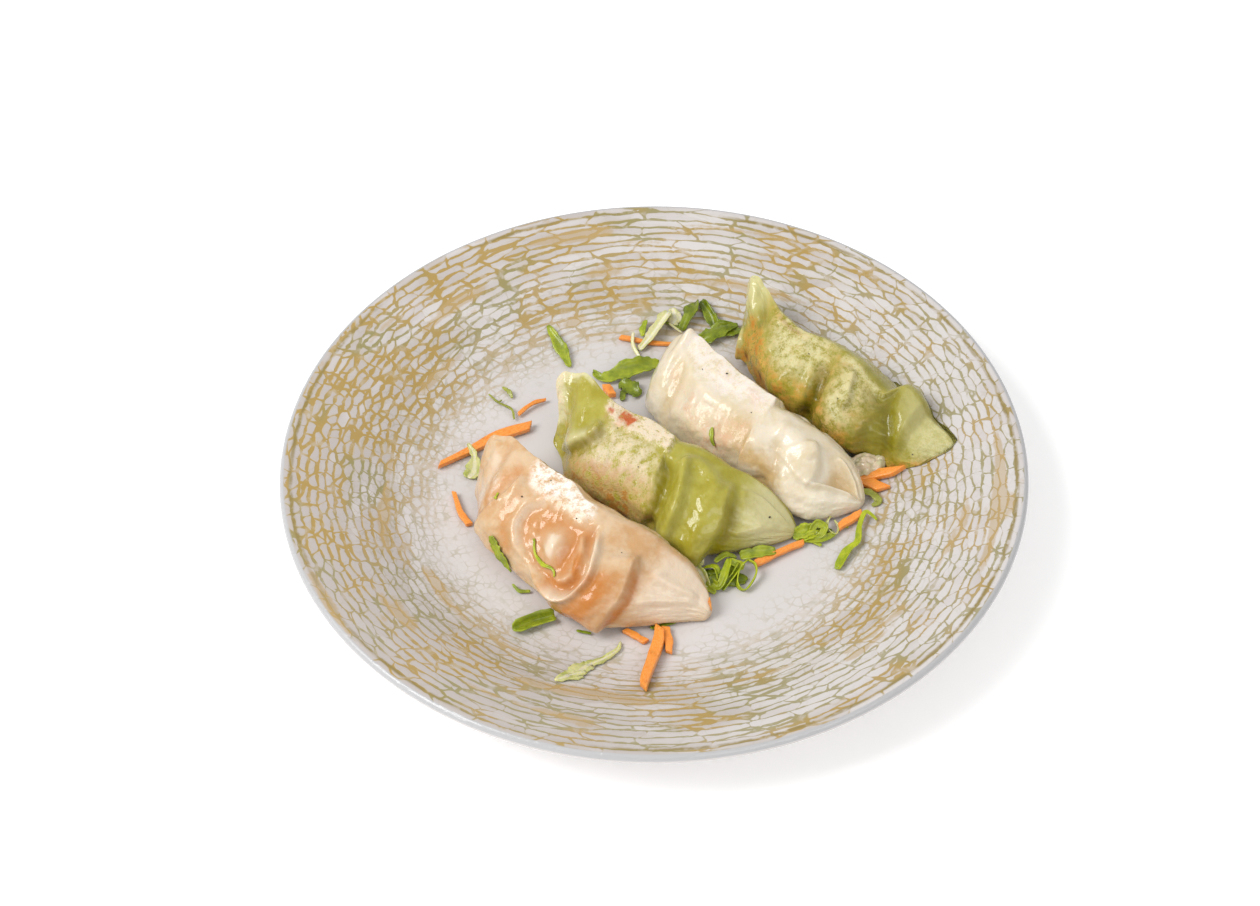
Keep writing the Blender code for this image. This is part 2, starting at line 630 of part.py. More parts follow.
def main():
    clear_scene()
    plate(material("glazed_stoneware", (0.78, 0.75, 0.72), 0.3))
    doughs = {
        "gyoza_orange": material("orange_dough", (0.85, 0.55, 0.33), 0.35),
        "gyoza_green": material("green_dough", (0.42, 0.44, 0.10), 0.35),
        "gyoza_white": material("white_dough", (0.85, 0.76, 0.62), 0.45),
        "gyoza_rear": material("dark_green_dough", (0.36, 0.36, 0.10), 0.4),
    }
    for name, form in DUMPLINGS.items():
        dumpling(name, form, doughs[name])
    carrot = material("carrot", (0.80, 0.25, 0.04), 0.4)
    for number, form in enumerate(CARROTS, 1):
        strip(f"carrot_{number}", form, carrot)
    green = material("leaf_green", (0.25, 0.42, 0.05), 0.4)
    for number, form in enumerate(LEAVES, 1):
        strip(f"leaf_{number}", form, green)
    leaf_on_dumpling("leaf_on_gyoza", ORANGE, green, LEAF_LINE, LEAF_WIDTH)
    for number, form in enumerate(HEAPS, 1):
        heap(f"leaf_heap_{number}", form, green)
    strip("cabbage", CABBAGE, material("cabbage", (0.72, 0.72, 0.58), 0.3))


main()
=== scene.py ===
# %% [markdown]
# # Four gyoza on a net-glazed plate
#
# The real thing is a dessert plate, 210 mm across, with four pan-fried gyoza in a row, some
# shredded carrot and torn green leaves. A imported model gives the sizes, the places and the
# masses. This lesson dresses it: each solid gets a finer mesh and the finish of the real one.

from collections import namedtuple
from math import cos, pi, radians, sin

import bmesh
import bpy
import numpy as np
from mathutils import Matrix, Vector, noise


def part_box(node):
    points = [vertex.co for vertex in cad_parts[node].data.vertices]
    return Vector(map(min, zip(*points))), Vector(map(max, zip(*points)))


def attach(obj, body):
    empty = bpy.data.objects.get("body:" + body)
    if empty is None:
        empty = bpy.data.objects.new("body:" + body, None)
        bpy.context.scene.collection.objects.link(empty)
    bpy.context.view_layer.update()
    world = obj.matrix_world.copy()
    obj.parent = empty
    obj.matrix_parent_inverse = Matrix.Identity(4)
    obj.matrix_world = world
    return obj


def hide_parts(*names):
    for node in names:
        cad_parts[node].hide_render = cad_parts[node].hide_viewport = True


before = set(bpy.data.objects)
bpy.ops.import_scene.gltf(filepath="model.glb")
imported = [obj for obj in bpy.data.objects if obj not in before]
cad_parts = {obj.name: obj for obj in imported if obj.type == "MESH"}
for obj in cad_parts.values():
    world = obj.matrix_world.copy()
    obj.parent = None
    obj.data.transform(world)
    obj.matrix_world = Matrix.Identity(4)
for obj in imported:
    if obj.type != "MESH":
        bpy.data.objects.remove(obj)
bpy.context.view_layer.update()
MM = 0.001  # the tables below are in millimetres, the meshes in metres

# %% [markdown]
# ## Camera, light and table
#
# A diner looks down on the plate at about 47 degrees. A camera can be turned by angles or by
# three directions that it looks along. Directions are used here, because they read as what
# they are: ahead, right and up, with a slight roll at the end.

# %% Camera
CAMERA_PLACE = Vector((0.0, -0.42084, 0.47686))
YAW = radians(-0.891)
PITCH = radians(47.310)
ROLL = radians(-0.912)
LENS = 62.86

ahead = Vector((sin(YAW) * cos(PITCH), cos(YAW) * cos(PITCH), -sin(PITCH)))
level = Vector((cos(YAW), -sin(YAW), 0.0))
raised = level.cross(ahead)
rolled_right = level * cos(ROLL) + raised * sin(ROLL)
rolled_up = raised * cos(ROLL) - level * sin(ROLL)

camera_data = bpy.data.cameras.new("camera")
camera_data.lens = LENS
camera_data.clip_start = 0.01
camera = bpy.data.objects.new("camera", camera_data)
camera.matrix_world = Matrix.Translation(CAMERA_PLACE) @ Matrix(
    (rolled_right, rolled_up, -ahead)
).transposed().to_4x4()
bpy.context.scene.collection.objects.link(camera)
bpy.context.scene.camera = camera
print("camera at", [round(value, 3) for value in camera.location])

# %% [markdown]
# Food looks moist when a large soft light grazes it from one side, so the key is a big panel
# on the left. A wide dim panel at the front right opens the shadows, and a white world and a
# floor that glows a little do the rest.

# %% Lights, world and floor
KEY_POWER = 5.5
FILL_POWER = 1.6
WORLD_STRENGTH = 0.68
FLOOR_COLOUR = (0.93, 0.93, 0.93, 1)
FLOOR_GLOW = 0.19
FLOOR_HALF_SIZE = 2.5


def softbox(name, place, width, height, power):
    """A rectangular panel light that faces the plate."""
    data = bpy.data.lights.new(name, "AREA")
    data.shape = "RECTANGLE"
    data.size = width
    data.size_y = height
    data.energy = power
    panel = bpy.data.objects.new(name, data)
    panel.location = place
    panel.rotation_euler = (-Vector(place)).to_track_quat("-Z", "Y").to_euler()
    bpy.context.scene.collection.objects.link(panel)


softbox("key", (-0.52, -0.16, 0.66), 0.42, 0.42, KEY_POWER)
softbox("fill", (0.40, -0.58, 0.58), 0.6, 0.4, FILL_POWER)

world = bpy.data.worlds.new("studio")
world.use_nodes = True
sky = world.node_tree.nodes["Background"].inputs
sky["Color"].default_value = (1, 1, 1, 1)
sky["Strength"].default_value = WORLD_STRENGTH
bpy.context.scene.world = world
bpy.context.scene.view_settings.view_transform = "Standard"

floor_mesh = bmesh.new()
bmesh.ops.create_grid(floor_mesh, x_segments=1, y_segments=1, size=FLOOR_HALF_SIZE)
floor_data = bpy.data.meshes.new("table")
floor_mesh.to_mesh(floor_data)
floor_mesh.free()
floor = bpy.data.objects.new("table", floor_data)
bpy.context.scene.collection.objects.link(floor)
paper = bpy.data.materials.new("white_table")
paper.use_nodes = True
surface = paper.node_tree.nodes["Principled BSDF"].inputs
surface["Base Color"].default_value = FLOOR_COLOUR
surface["Roughness"].default_value = 0.8
surface["Emission Color"].default_value = (1, 1, 1, 1)
surface["Emission Strength"].default_value = FLOOR_GLOW
floor_data.materials.append(paper)
print("lit by", [light.name for light in bpy.data.lights])

# %% [markdown]
# ## Small tools
#
# Three kinds of helper serve everything below: smooth curves through a few numbers, a short
# way to add shader nodes, and one function that turns a bmesh into a finished piece.

# %% Curves through tables


def flow(at, values, x):
    """A smooth curve through the table's points that never overshoots them."""
    at = np.asarray(at, float)
    values = np.asarray(values, float)
    step = np.diff(at)
    slope = np.diff(values) / step
    tangent = np.zeros(len(at))
    tangent[0], tangent[-1] = slope[0], slope[-1]
    turning = slope[:-1] * slope[1:] <= 0
    weight_a = 2 * step[1:] + step[:-1]
    weight_b = step[1:] + 2 * step[:-1]
    safe = np.where(turning, 1.0, slope[:-1]), np.where(turning, 1.0, slope[1:])
    mean = (weight_a + weight_b) / (weight_a / safe[0] + weight_b / safe[1])
    tangent[1:-1] = np.where(turning, 0.0, mean)
    i = np.clip(np.searchsorted(at, x, side="right") - 1, 0, len(at) - 2)
    t = (x - at[i]) / step[i]
    rise = t * t * (3 - 2 * t)
    bow_in = t * (1 - t) ** 2 * tangent[i]
    bow_out = t * t * (t - 1) * tangent[i + 1]
    return values[i] * (1 - rise) + values[i + 1] * rise + step[i] * (bow_in + bow_out)


def ease(low, high, x):
    """0 below low, 1 above high, and a smooth step between."""
    t = np.clip((x - low) / (high - low), 0, 1)
    return t * t * (3 - 2 * t)


def through(knots, shares):
    """Points of a smooth curve through the knots, at these shares of the way."""
    knots = np.asarray(knots, float)
    padded = np.vstack([2 * knots[0] - knots[1], knots, 2 * knots[-1] - knots[-2]])
    spot = np.asarray(shares, float) * (len(knots) - 1)
    i = np.clip(spot.astype(int), 0, len(knots) - 2)
    t = (spot - i)[:, None]
    a, b, c, d = (padded[i + k] for k in range(4))
    return b + 0.5 * t * (c - a + t * (2 * a - 5 * b + 4 * c - d + t * (3 * b - a - 3 * c + d)))


print("half way through three knots:", through([(0, 0), (1, 2), (2, 0)], [0.5])[0])

# %% Shader nodes in one line each


def add(tree, kind, inputs=None, **settings):
    """A new node. An input is a plain value, or the socket that feeds it."""
    made = tree.nodes.new(kind)
    for name, value in settings.items():
        setattr(made, name, value)
    for key, value in (inputs or {}).items():
        if isinstance(value, bpy.types.NodeSocket):
            tree.links.new(value, made.inputs[key])
        else:
            made.inputs[key].default_value = value
    return made


def calc(tree, operation, *values):
    """The result of a Math node."""
    return add(tree, "ShaderNodeMath", dict(enumerate(values)), operation=operation).outputs[0]


def plus(tree, first, second):
    return calc(tree, "ADD", first, second)


def times(tree, first, second):
    return calc(tree, "MULTIPLY", first, second)


def vector_calc(tree, operation, *values):
    """The result of a Vector Math node."""
    inputs = dict(enumerate(values))
    return add(tree, "ShaderNodeVectorMath", inputs, operation=operation).outputs[0]


def combined(tree, *parts):
    """A vector from three numbers."""
    return add(tree, "ShaderNodeCombineXYZ", dict(enumerate(parts))).outputs[0]


def separated(tree, vector):
    """The three numbers of a vector."""
    return add(tree, "ShaderNodeSeparateXYZ", {0: vector}).outputs


def blend(tree, factor, first, second):
    """first where factor is 0, second where it is 1; a plain colour is red, green and blue."""
    first, second = ((*c, 1) if isinstance(c, tuple) else c for c in (first, second))
    inputs = {0: factor, 6: first, 7: second}
    return add(tree, "ShaderNodeMix", inputs, data_type="RGBA").outputs[2]


def span(tree, value, low, high, start=0.0, end=1.0):
    """A smooth step from start, where value is low, to end, where it is high."""
    inputs = {"Value": value, "From Min": low, "From Max": high, "To Min": start, "To Max": end}
    made = add(tree, "ShaderNodeMapRange", inputs, interpolation_type="SMOOTHSTEP")
    return made.outputs["Result"]


def clouds(tree, place, scale, detail=2.0, roughness=0.5):
    """Soft noise between 0 and 1."""
    inputs = {"Vector": place, "Scale": scale, "Detail": detail, "Roughness": roughness}
    return add(tree, "ShaderNodeTexNoise", inputs).outputs["Fac"]


def own_mask(tree, name):
    """A mask that the mesh carries."""
    return add(tree, "ShaderNodeAttribute", attribute_name=name).outputs["Fac"]


def object_place(tree):
    """The place on the plate in metres, which stays with the piece."""
    return add(tree, "ShaderNodeTexCoord").outputs["Object"]


def new_group(name, inputs, outputs):
    """An empty node group with named float sockets, or vector ones where the value is None."""
    tree = bpy.data.node_groups.new(name, "ShaderNodeTree")
    for label, value in inputs.items():
        kind = "NodeSocketVector" if value is None else "NodeSocketFloat"
        socket = tree.interface.new_socket(label, in_out="INPUT", socket_type=kind)
        if value is not None:
            socket.default_value = value
    for label in outputs:
        tree.interface.new_socket(label, in_out="OUTPUT", socket_type="NodeSocketFloat")
    return tree, tree.nodes.new("NodeGroupInput").outputs, tree.nodes.new("NodeGroupOutput").inputs


def use_group(tree, group, inputs):
    made = tree.nodes.new("ShaderNodeGroup")
    made.node_tree = group
    for key, value in inputs.items():
        if isinstance(value, bpy.types.NodeSocket):
            tree.links.new(value, made.inputs[key])
        else:
            made.inputs[key].default_value = value
    return made.outputs


def new_finish(name, **values):
    """A material and its Principled shader, with these values on the shader's own sockets."""
    made = bpy.data.materials.new(name)
    made.use_nodes = True
    shader = made.node_tree.nodes["Principled BSDF"]
    for label, value in values.items():
        shader.inputs[label.replace("_", " ")].default_value = value
    return made, made.node_tree, shader


def relief(tree, shader, height, distance, strength=1.0):
    """Bump from a height mask, distance metres high where it is 1."""
    inputs = {"Height": height, "Distance": distance, "Strength": strength}
    tree.links.new(add(tree, "ShaderNodeBump", inputs).outputs["Normal"], shader.inputs["Normal"])


print("node helpers ready")

# %% A bmesh becomes a piece of the plate


def piece(name, mesh, finish, node=None, smooth=True):
    """An object at the origin that rides on the part and may stand for one of its solids."""
    data = bpy.data.meshes.new(name)
    mesh.to_mesh(data)
    mesh.free()
    if smooth:
        data.shade_smooth()
    data.materials.append(finish)
    made = bpy.data.objects.new(name, data)
    bpy.context.scene.collection.objects.link(made)
    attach(made, "root")
    if node:
        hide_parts(node)
    return made


def thicken(sheet, thickness):
    """Give a sheet its thickness, half of it to each side."""
    wall = sheet.modifiers.new("leaf thickness", "SOLIDIFY")
    wall.thickness = thickness
    wall.offset = 0


# %% [markdown]
# ## The plate
#
# A coupe plate is thrown on a wheel, so it is a lathe form: one profile, spun once round the
# middle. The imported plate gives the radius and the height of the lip. Here the profile gets
# more points, a properly round lip and a soft foot ring, and enough steps to look round.

# %% Plate profile
_, plate_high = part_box("plate")
PLATE_RADIUS = plate_high[0]
PLATE_RIM = plate_high[2]
PLATE_FLOOR = 5.0 * MM
WALL = 3.8 * MM
LIP = 1.5 * MM
FOOT_RADIUS = 56.5 * MM
FOOT_HALF = 2.5 * MM
FOOT_ROUNDING = 0.4 * MM
RECESS = 1.2 * MM
PLATE_STEPS = 256
PLATE_TOP = [
    (0.0, PLATE_FLOOR),
    (50 * MM, PLATE_FLOOR),
    (60 * MM, 5.6 * MM),
    (72 * MM, 9.5 * MM),
    (84 * MM, 15.0 * MM),
    (94 * MM, 18.8 * MM),
    (PLATE_RADIUS - LIP, PLATE_RIM - 0.2 * MM),
]


def plate_height(radius):
    """Height of the plate's upper side at this distance from its middle."""
    return flow([at for at, _ in PLATE_TOP], [height for _, height in PLATE_TOP], radius)


profile = [(0.0, RECESS), (40 * MM, RECESS), (FOOT_RADIUS - FOOT_HALF - 1.2 * MM, RECESS)]
profile += [(FOOT_RADIUS - FOOT_HALF, 0.2 * MM), (FOOT_RADIUS - FOOT_HALF + FOOT_ROUNDING, 0.0)]
profile += [(FOOT_RADIUS + FOOT_HALF - FOOT_ROUNDING, 0.0), (FOOT_RADIUS + FOOT_HALF, 0.2 * MM)]
profile += [(FOOT_RADIUS + FOOT_HALF + 1.2 * MM, RECESS)]
for at in np.linspace(66 * MM, PLATE_RADIUS - WALL, 14):
    profile.append((at, plate_height(at) - WALL))
for turn in np.radians(np.linspace(-80, 80, 13)):
    profile.append((PLATE_RADIUS - LIP + LIP * cos(turn), PLATE_RIM - LIP + LIP * sin(turn)))
for at in np.linspace(PLATE_RADIUS - 2 * LIP, 46 * MM, 30):
    profile.append((at, plate_height(at)))
profile.append((0.0, PLATE_FLOOR))

plate_mesh = bmesh.new()
corners = [plate_mesh.verts.new((at, 0, height)) for at, height in profile]
sides = [plate_mesh.edges.new(pair) for pair in zip(corners, corners[1:])]
bmesh.ops.spin(
    plate_mesh, geom=corners + sides, cent=(0, 0, 0), axis=(0, 0, 1),
    angle=2 * pi, steps=PLATE_STEPS, use_merge=True,
)
bmesh.ops.remove_doubles(plate_mesh, verts=plate_mesh.verts, dist=1e-6)
bmesh.ops.recalc_face_normals(plate_mesh, faces=plate_mesh.faces)
upper = plate_mesh.verts.layers.float.new("upper")
for vert in plate_mesh.verts:
    vert[upper] = float(vert.co.z > plate_height(vert.co.xy.length) - LIP)
print("plate:", len(plate_mesh.faces), "faces, radius", round(PLATE_RADIUS / MM, 1), "mm")

# %% [markdown]
# The glaze has crawled: thick white glaze has drawn back into rounded islands, and the thin
# ochre and olive slip below shows between them as a net. Islands with lines between are what a
# Voronoi texture makes. It is laid on a cylinder here, round the plate in one direction and
# from the middle outwards in the other, so the islands stretch along the wheel's turn.

# %% Net of lines between glaze islands
CORNER_START = 0.40
HALO_REACH = 0.9

net, given, out = new_group(
    "glaze_net",
    {"Around": 10.0, "Outwards": 310.0, "Stretch": 0.2, "Wander": 0.5, "Mess": 0.7,
     "Width": 0.1, "Rows": 0.2, "Rounding": 1.2, "Softness": 0.25},
    ["Line", "Halo", "Island"],
)


def from_middle(tree, place):
    """How far a place is from the plate's axis."""
    x, y, _ = separated(tree, place)
    return calc(tree, "SQRT", plus(tree, times(tree, x, x), times(tree, y, y)))


where = object_place(net)
split = separated(net, where)
radius = from_middle(net, where)
angle = calc(net, "ARCTAN2", split[1], split[0])
double = calc(net, "SINE", times(net, angle, 2.0))
angle = plus(net, angle, times(net, double, given["Stretch"]))
on_drum = combined(
    net, times(net, calc(net, "COSINE", angle), given["Around"]),
    times(net, calc(net, "SINE", angle), given["Around"]), times(net, radius, given["Outwards"]),
)
drift = add(net, "ShaderNodeTexNoise", {"Vector": where, "Scale": 150.0, "Detail": 2.0})
centred = vector_calc(net, "SUBTRACT", drift.outputs["Color"], (0.5, 0.5, 0.5))
scaled = add(net, "ShaderNodeVectorMath", {0: centred, "Scale": given["Wander"]},
             operation="SCALE").outputs[0]
spot = vector_calc(net, "ADD", on_drum, scaled)
scatter = {"Vector": spot, "Scale": 1.0, "Randomness": given["Mess"]}
edge = add(net, "ShaderNodeTexVoronoi", scatter, feature="DISTANCE_TO_EDGE").outputs["Distance"]
cell = add(net, "ShaderNodeTexVoronoi", scatter, feature="F1")
next_cell = add(net, "ShaderNodeTexVoronoi", scatter, feature="F2")

# How much a line runs round the wheel (1) or outwards (0), from the two cells that it parts.
apart = vector_calc(net, "SUBTRACT", next_cell.outputs["Position"], cell.outputs["Position"])
steep = separated(net, vector_calc(net, "NORMALIZE", apart))[2]
steep = times(net, steep, steep)

# The drum is stretched, so a distance on it is brought back to millimetres on the plate.
per_mm = calc(net, "DIVIDE", given["Around"], times(net, radius, 1000.0))
per_mm = times(net, calc(net, "SUBTRACT", 1.0, steep), times(net, per_mm, per_mm))
row_mm = calc(net, "DIVIDE", given["Outwards"], 1000.0)
row_mm = times(net, steep, times(net, row_mm, row_mm))
edge = calc(net, "DIVIDE", edge, calc(net, "SQRT", plus(net, per_mm, row_mm)))

# Corners far from a cell's heart are filled, so the islands are round.
corner = calc(net, "MAXIMUM", calc(net, "SUBTRACT", cell.outputs["Distance"], CORNER_START), 0.0)
edge = calc(net, "SUBTRACT", edge, times(net, corner, given["Rounding"]))
rowwise = times(net, calc(net, "SUBTRACT", steep, 0.5), given["Rows"])
inner = plus(net, given["Width"], rowwise)
for label, reach in (("Line", given["Softness"]), ("Halo", HALO_REACH)):
    outer = plus(net, inner, reach)
    net.links.new(span(net, edge, inner, outer, 1.0, 0.0), out[label])
net.links.new(separated(net, cell.outputs["Color"])[0], out["Island"])
print("glaze net has", len(net.nodes), "nodes")

# %% Glazed stoneware
WHITE_GLAZE = (0.590, 0.555, 0.540)
# the cool tone of thin glaze, which also serves as painted shade at the front left
COOL_AND_SHADED_GLAZE = (0.450, 0.405, 0.380)
WARM_WASH = (0.470, 0.385, 0.240)
OCHRE_SLIP = (0.375, 0.248, 0.066)
OLIVE_SLIP = (0.270, 0.232, 0.088)
BAND_SLIP = (0.420, 0.290, 0.120)
RIM_GREEN = (0.250, 0.185, 0.055)
# the lip's outer edge, grey as painted shade
SHADED_LIP_GLAZE = (0.430, 0.425, 0.430)
BISQUE = (0.560, 0.500, 0.430)

GLAZE_ROUGHNESS = 0.27
FOOT_ROUGHNESS = 0.75

glazed, tree, shader = new_finish("net_glazed_stoneware", Roughness=GLAZE_ROUGHNESS, IOR=1.5)
where = object_place(tree)
split = separated(tree, where)
radius = from_middle(tree, where)
share = calc(tree, "DIVIDE", radius, PLATE_RADIUS)
pools = clouds(tree, where, 22.0, 2.0, 0.55)
breaks = clouds(tree, where, 230.0, 3.0, 0.6)


def drawn_round(around, outwards, detail):
    """Soft noise that the wheel has drawn out into streaks round the plate."""
    round_x = times(tree, calc(tree, "DIVIDE", split[0], radius), around)
    round_y = times(tree, calc(tree, "DIVIDE", split[1], radius), around)
    return clouds(tree, combined(tree, round_x, round_y, times(tree, radius, outwards)), 1.0, detail)


streaks = drawn_round(3.2, 110.0, 2.0)

# The slip is richer towards the left and the back.
lean = times(tree, split[0], -1.0)
upward = times(tree, split[1], 0.5)
wealth = plus(tree, times(tree, pools, 0.55), times(tree, streaks, 0.75))
wealth = plus(tree, wealth, plus(tree, lean, upward))
reach = plus(tree, share, times(tree, pools, 0.16))
in_net = span(tree, reach, 0.60, 0.82)

# Two nets: the coarse one on the slope, with wider lines where slip is rich, and a fine faint
# one in and near the well.
width = span(tree, wealth, 0.52, 0.95, -0.16, 0.26)
coarse = use_group(tree, net, {"Around": 12.5, "Outwards": 430.0, "Stretch": 0.24, "Rows": 0.42,
                               "Wander": 0.55, "Mess": 0.62, "Width": width,
                               "Rounding": 1.9, "Softness": 0.30})
fine = use_group(tree, net, {"Around": 22.0, "Outwards": 420.0, "Stretch": 0.15, "Rows": 0.0,
                             "Wander": 0.9, "Mess": 0.8, "Width": -0.10,
                             "Rounding": 0.8, "Softness": 0.28})
thick = times(tree, coarse["Line"], in_net)
thick = times(tree, thick, span(tree, breaks, 0.30, 0.50, 0.35, 1.0))
near_well = times(tree, span(tree, share, 0.44, 0.62), span(tree, share, 0.72, 0.86, 1.0, 0.25))
faint = times(tree, fine["Line"], times(tree, near_well, 0.42))
faint = times(tree, faint, span(tree, breaks, 0.38, 0.6, 0.15, 1.0))

# The glaze is cooler where it is thin: island by island, and with the slip. It is also darker at the
# front left, which is painted shade.
cool_and_shade = plus(tree, times(tree, coarse["Island"], 0.5), span(tree, wealth, 0.5, 0.95))
# painted shade: the plate gets darker towards the front left
front_left_shade = times(tree, plus(tree, split[0], split[1]), -1.0 / PLATE_RADIUS)
cool_and_shade = plus(tree, cool_and_shade, span(tree, front_left_shade, 0.4, 1.3, 0.0, 0.9))
cool_and_shade = times(tree, cool_and_shade, in_net)
colour = blend(tree, span(tree, cool_and_shade, 0.1, 1.3, 0.0, 1.0), WHITE_GLAZE, COOL_AND_SHADED_GLAZE)
washed = times(tree, times(tree, coarse["Halo"], in_net), span(tree, wealth, 0.55, 0.90, 0.05, 0.60))
colour = blend(tree, washed, colour, WARM_WASH)
colour = blend(tree, faint, colour, OLIVE_SLIP)
ochre = span(tree, plus(tree, wealth, clouds(tree, where, 55.0, 1.0)), 1.02, 1.26, 0.0, 1.0)
slip = blend(tree, ochre, OLIVE_SLIP, OCHRE_SLIP)
covering = span(tree, wealth, 0.50, 0.80, 0.82, 0.97)
colour = blend(tree, times(tree, thick, covering), colour, slip)

# Bands of slip left along the wheel's turn, with edges that the crawled glaze has eaten.
bands = plus(tree, drawn_round(2.2, 190.0, 1.0), times(tree, breaks, 0.22))
bands = times(tree, span(tree, bands, 0.73, 0.80), span(tree, share, 0.58, 0.66))
bands = times(tree, bands, span(tree, coarse["Line"], 0.0, 0.6, 0.55, 0.95))
colour = blend(tree, bands, colour, BAND_SLIP)

# A broken green ring lies just inside the lip, and the lip's outer edge is a plain grey, which is
# painted shade.
ring_wobble = plus(tree, share, times(tree, breaks, 0.010))
ring_inner = span(tree, ring_wobble, 0.967, 0.974)
ring_outer = span(tree, ring_wobble, 0.977, 0.984, 1.0, 0.0)
ring = times(tree, ring_inner, ring_outer)
ring = times(tree, ring, span(tree, pools, 0.38, 0.60, 0.1, 0.9))
ring = times(tree, ring, span(tree, breaks, 0.35, 0.55, 0.3, 1.0))
colour = blend(tree, ring, colour, RIM_GREEN)
# painted shade on the lip's outer edge
colour = blend(tree, span(tree, share, 0.984, 0.990), colour, SHADED_LIP_GLAZE)
colour = blend(tree, own_mask(tree, "upper"), WHITE_GLAZE, colour)
foot = span(tree, split[2], 0.2 * MM, 0.6 * MM, 1.0, 0.0)
colour = blend(tree, foot, colour, BISQUE)
tree.links.new(colour, shader.inputs["Base Color"])
polish = span(tree, foot, 0.0, 1.0, GLAZE_ROUGHNESS, FOOT_ROUGHNESS)
tree.links.new(polish, shader.inputs["Roughness"])
height = calc(tree, "SUBTRACT", 1.0, times(tree, thick, 0.8))
relief(tree, shader, height, 0.12 * MM, 0.6)
piece("net_glazed_plate", plate_mesh, glazed, "plate")
print("plate finish:", len(tree.nodes), "nodes")

# %% [markdown]
# ## The dumplings
#
# A gyoza is a round of dough folded over its filling and pinched shut, so it has an upright
# wing at one end, a pointed one at the other and a few soft pleats between. Its skin could be
# sculpted or simulated as cloth. Here it is one surface over two numbers, the share of the
# length and the angle around, because a table of stations then gives its form, and pleats can
# be drawn on it like lines on a map.

# %% Dumpling surface
# Millimetres. along: 0 at the left wing's tip, 1 at the right one's. crest: height above the
# well. front, back: half widths to the diner and away. lean: how far the crest stands back.
# shift: the middle's place across. edge: 1 for a sharp crest, 0 for a round one.
Station = namedtuple("Station", "along crest front back lean shift edge")

# A crease drawn through (along, degrees around) marks: 90 is the crest, 180 the front, 270 the
# underside. A ridge swells on both sides of its line, or sinks if its height is negative. A lap
# is a layer of dough that ends at the line and thins out over its width behind it. A pit is
# everything inside a closed line, sunk by its height, with an edge as soft as its width.
Fold = namedtuple("Fold", "kind width height line")

# A round swelling or hollow, and its reach along and around.
Puff = namedtuple("Puff", "along around reach height")
# sweep and pinch move the left wing's upright edge: its top outwards, its middle inwards.
Gyoza = namedtuple("Gyoza", "place turn length sweep pinch lump_seed stations folds puffs")

GIRTH = 20.0  # millimetres to a radian around, for distances on the skin
WAIST = 0.35  # height of the widest place, as a share of the crest's
HEART = 0.4  # height at which the two ends close, as a share of the crest's
TIP_BLUNTNESS = 9.0  # the power of the curve that closes the ends
FRONT_HOLLOW = 0.35  # how much a sharp crest's front slope sinks in
BACK_BOW = 0.8  # the power of its back slope
BELLY_FULLNESS = 0.75  # a lower power makes the belly below the waist fuller
SOLE_FLATNESS = 0.6  # and the sole flatter
SLIMMEST = 3.0  # millimetres; thinner parts lift their folds as if they were this thick
LAP_EDGE = 0.22  # millimetres over which a lap's edge rises
FOLD_STEPS = 26  # short straight runs in a fold's curve
PIT_STEPS = 40
FOLD_FADE = 0.16  # share of a fold's line over which each of its ends fades out
WING_REACH = 0.16  # share of the length that the left wing takes up
REST_GAP = 0.3  # millimetres between the sole and the plate

# Sizes and heights in millimetres of the skin's unevenness, and of the sharp crest's.
LUMPS = ((13.0, 0.28), (6.0, 0.16), (2.8, 0.08), (1.5, 0.03))
CREST_WAVES = ((9.0, 0.35), (3.5, 0.16))
CREST_START = 0.05  # share of the length over which the crest's waves set in
FAR = 1e9  # beyond any distance on the skin
TINY = 1e-9  # keeps a division from failing
RIPPLE_WAVES = 7
RIPPLE_SIZE = 3.2  # brings the sum of seven crossing waves to between about -1 and 1


def line_distance(line, x, y, closed=False):
    """Distance to a drawn line, the side of it (or whether inside), and the share along it."""
    marks = [(a, b) for a, b in line]
    if closed:
        marks.append(marks[0])
    near = np.full(x.shape, FAR)
    side = np.zeros(x.shape)
    way = np.zeros(x.shape)
    inside = np.zeros(x.shape, bool)
    runs = len(marks) - 1
    for i, (here, there) in enumerate(zip(marks, marks[1:])):
        run = np.subtract(there, here)
        dx = x - here[0]
        dy = y - here[1]
        share = np.clip((dx * run[0] + dy * run[1]) / max(run @ run, 1e-12), 0, 1)
        off = np.hypot(dx - share * run[0], dy - share * run[1])
        closer = off < near
        near = np.where(closer, off, near)
        side = np.where(closer, np.sign(run[0] * dy - run[1] * dx), side)
        way = np.where(closer, (i + share) / runs, way)
        if closed:
            crosses = (here[1] > y) != (there[1] > y)
            reach = here[0] + (y - here[1]) * run[0] / (run[1] if run[1] else TINY)
            inside ^= crosses & (x < reach)
    return (near, np.where(inside, 1.0, -1.0), way) if closed else (near, side, way)


def set_down(place, degrees, x, y):
    """Where a point of a turned piece comes to lie."""
    turn = radians(degrees)
    return place[0] + x * cos(turn) - y * sin(turn), place[1] + x * sin(turn) + y * cos(turn)


def on_skin(form, line, steps=0):
    """A line's (along, degrees) marks in millimetres on the unrolled skin, smoothed if asked."""
    marks = np.array([(a * form.length, radians(b) * GIRTH) for a, b in line])
    return through(marks, np.linspace(0, 1, steps)) if steps else marks


def ripple(x, y, size, seed):
    """Smooth unevenness between about -1 and 1, from a few crossing waves."""
    dice = np.random.default_rng(seed)
    total = np.zeros(x.shape)
    for _ in range(RIPPLE_WAVES):
        turn = dice.uniform(0, 2 * pi)
        phase = dice.uniform(0, 2 * pi)
        length = size * dice.uniform(0.7, 1.5)
        total += np.sin((x * cos(turn) + y * sin(turn)) * 2 * pi / length + phase)
    return total / RIPPLE_SIZE


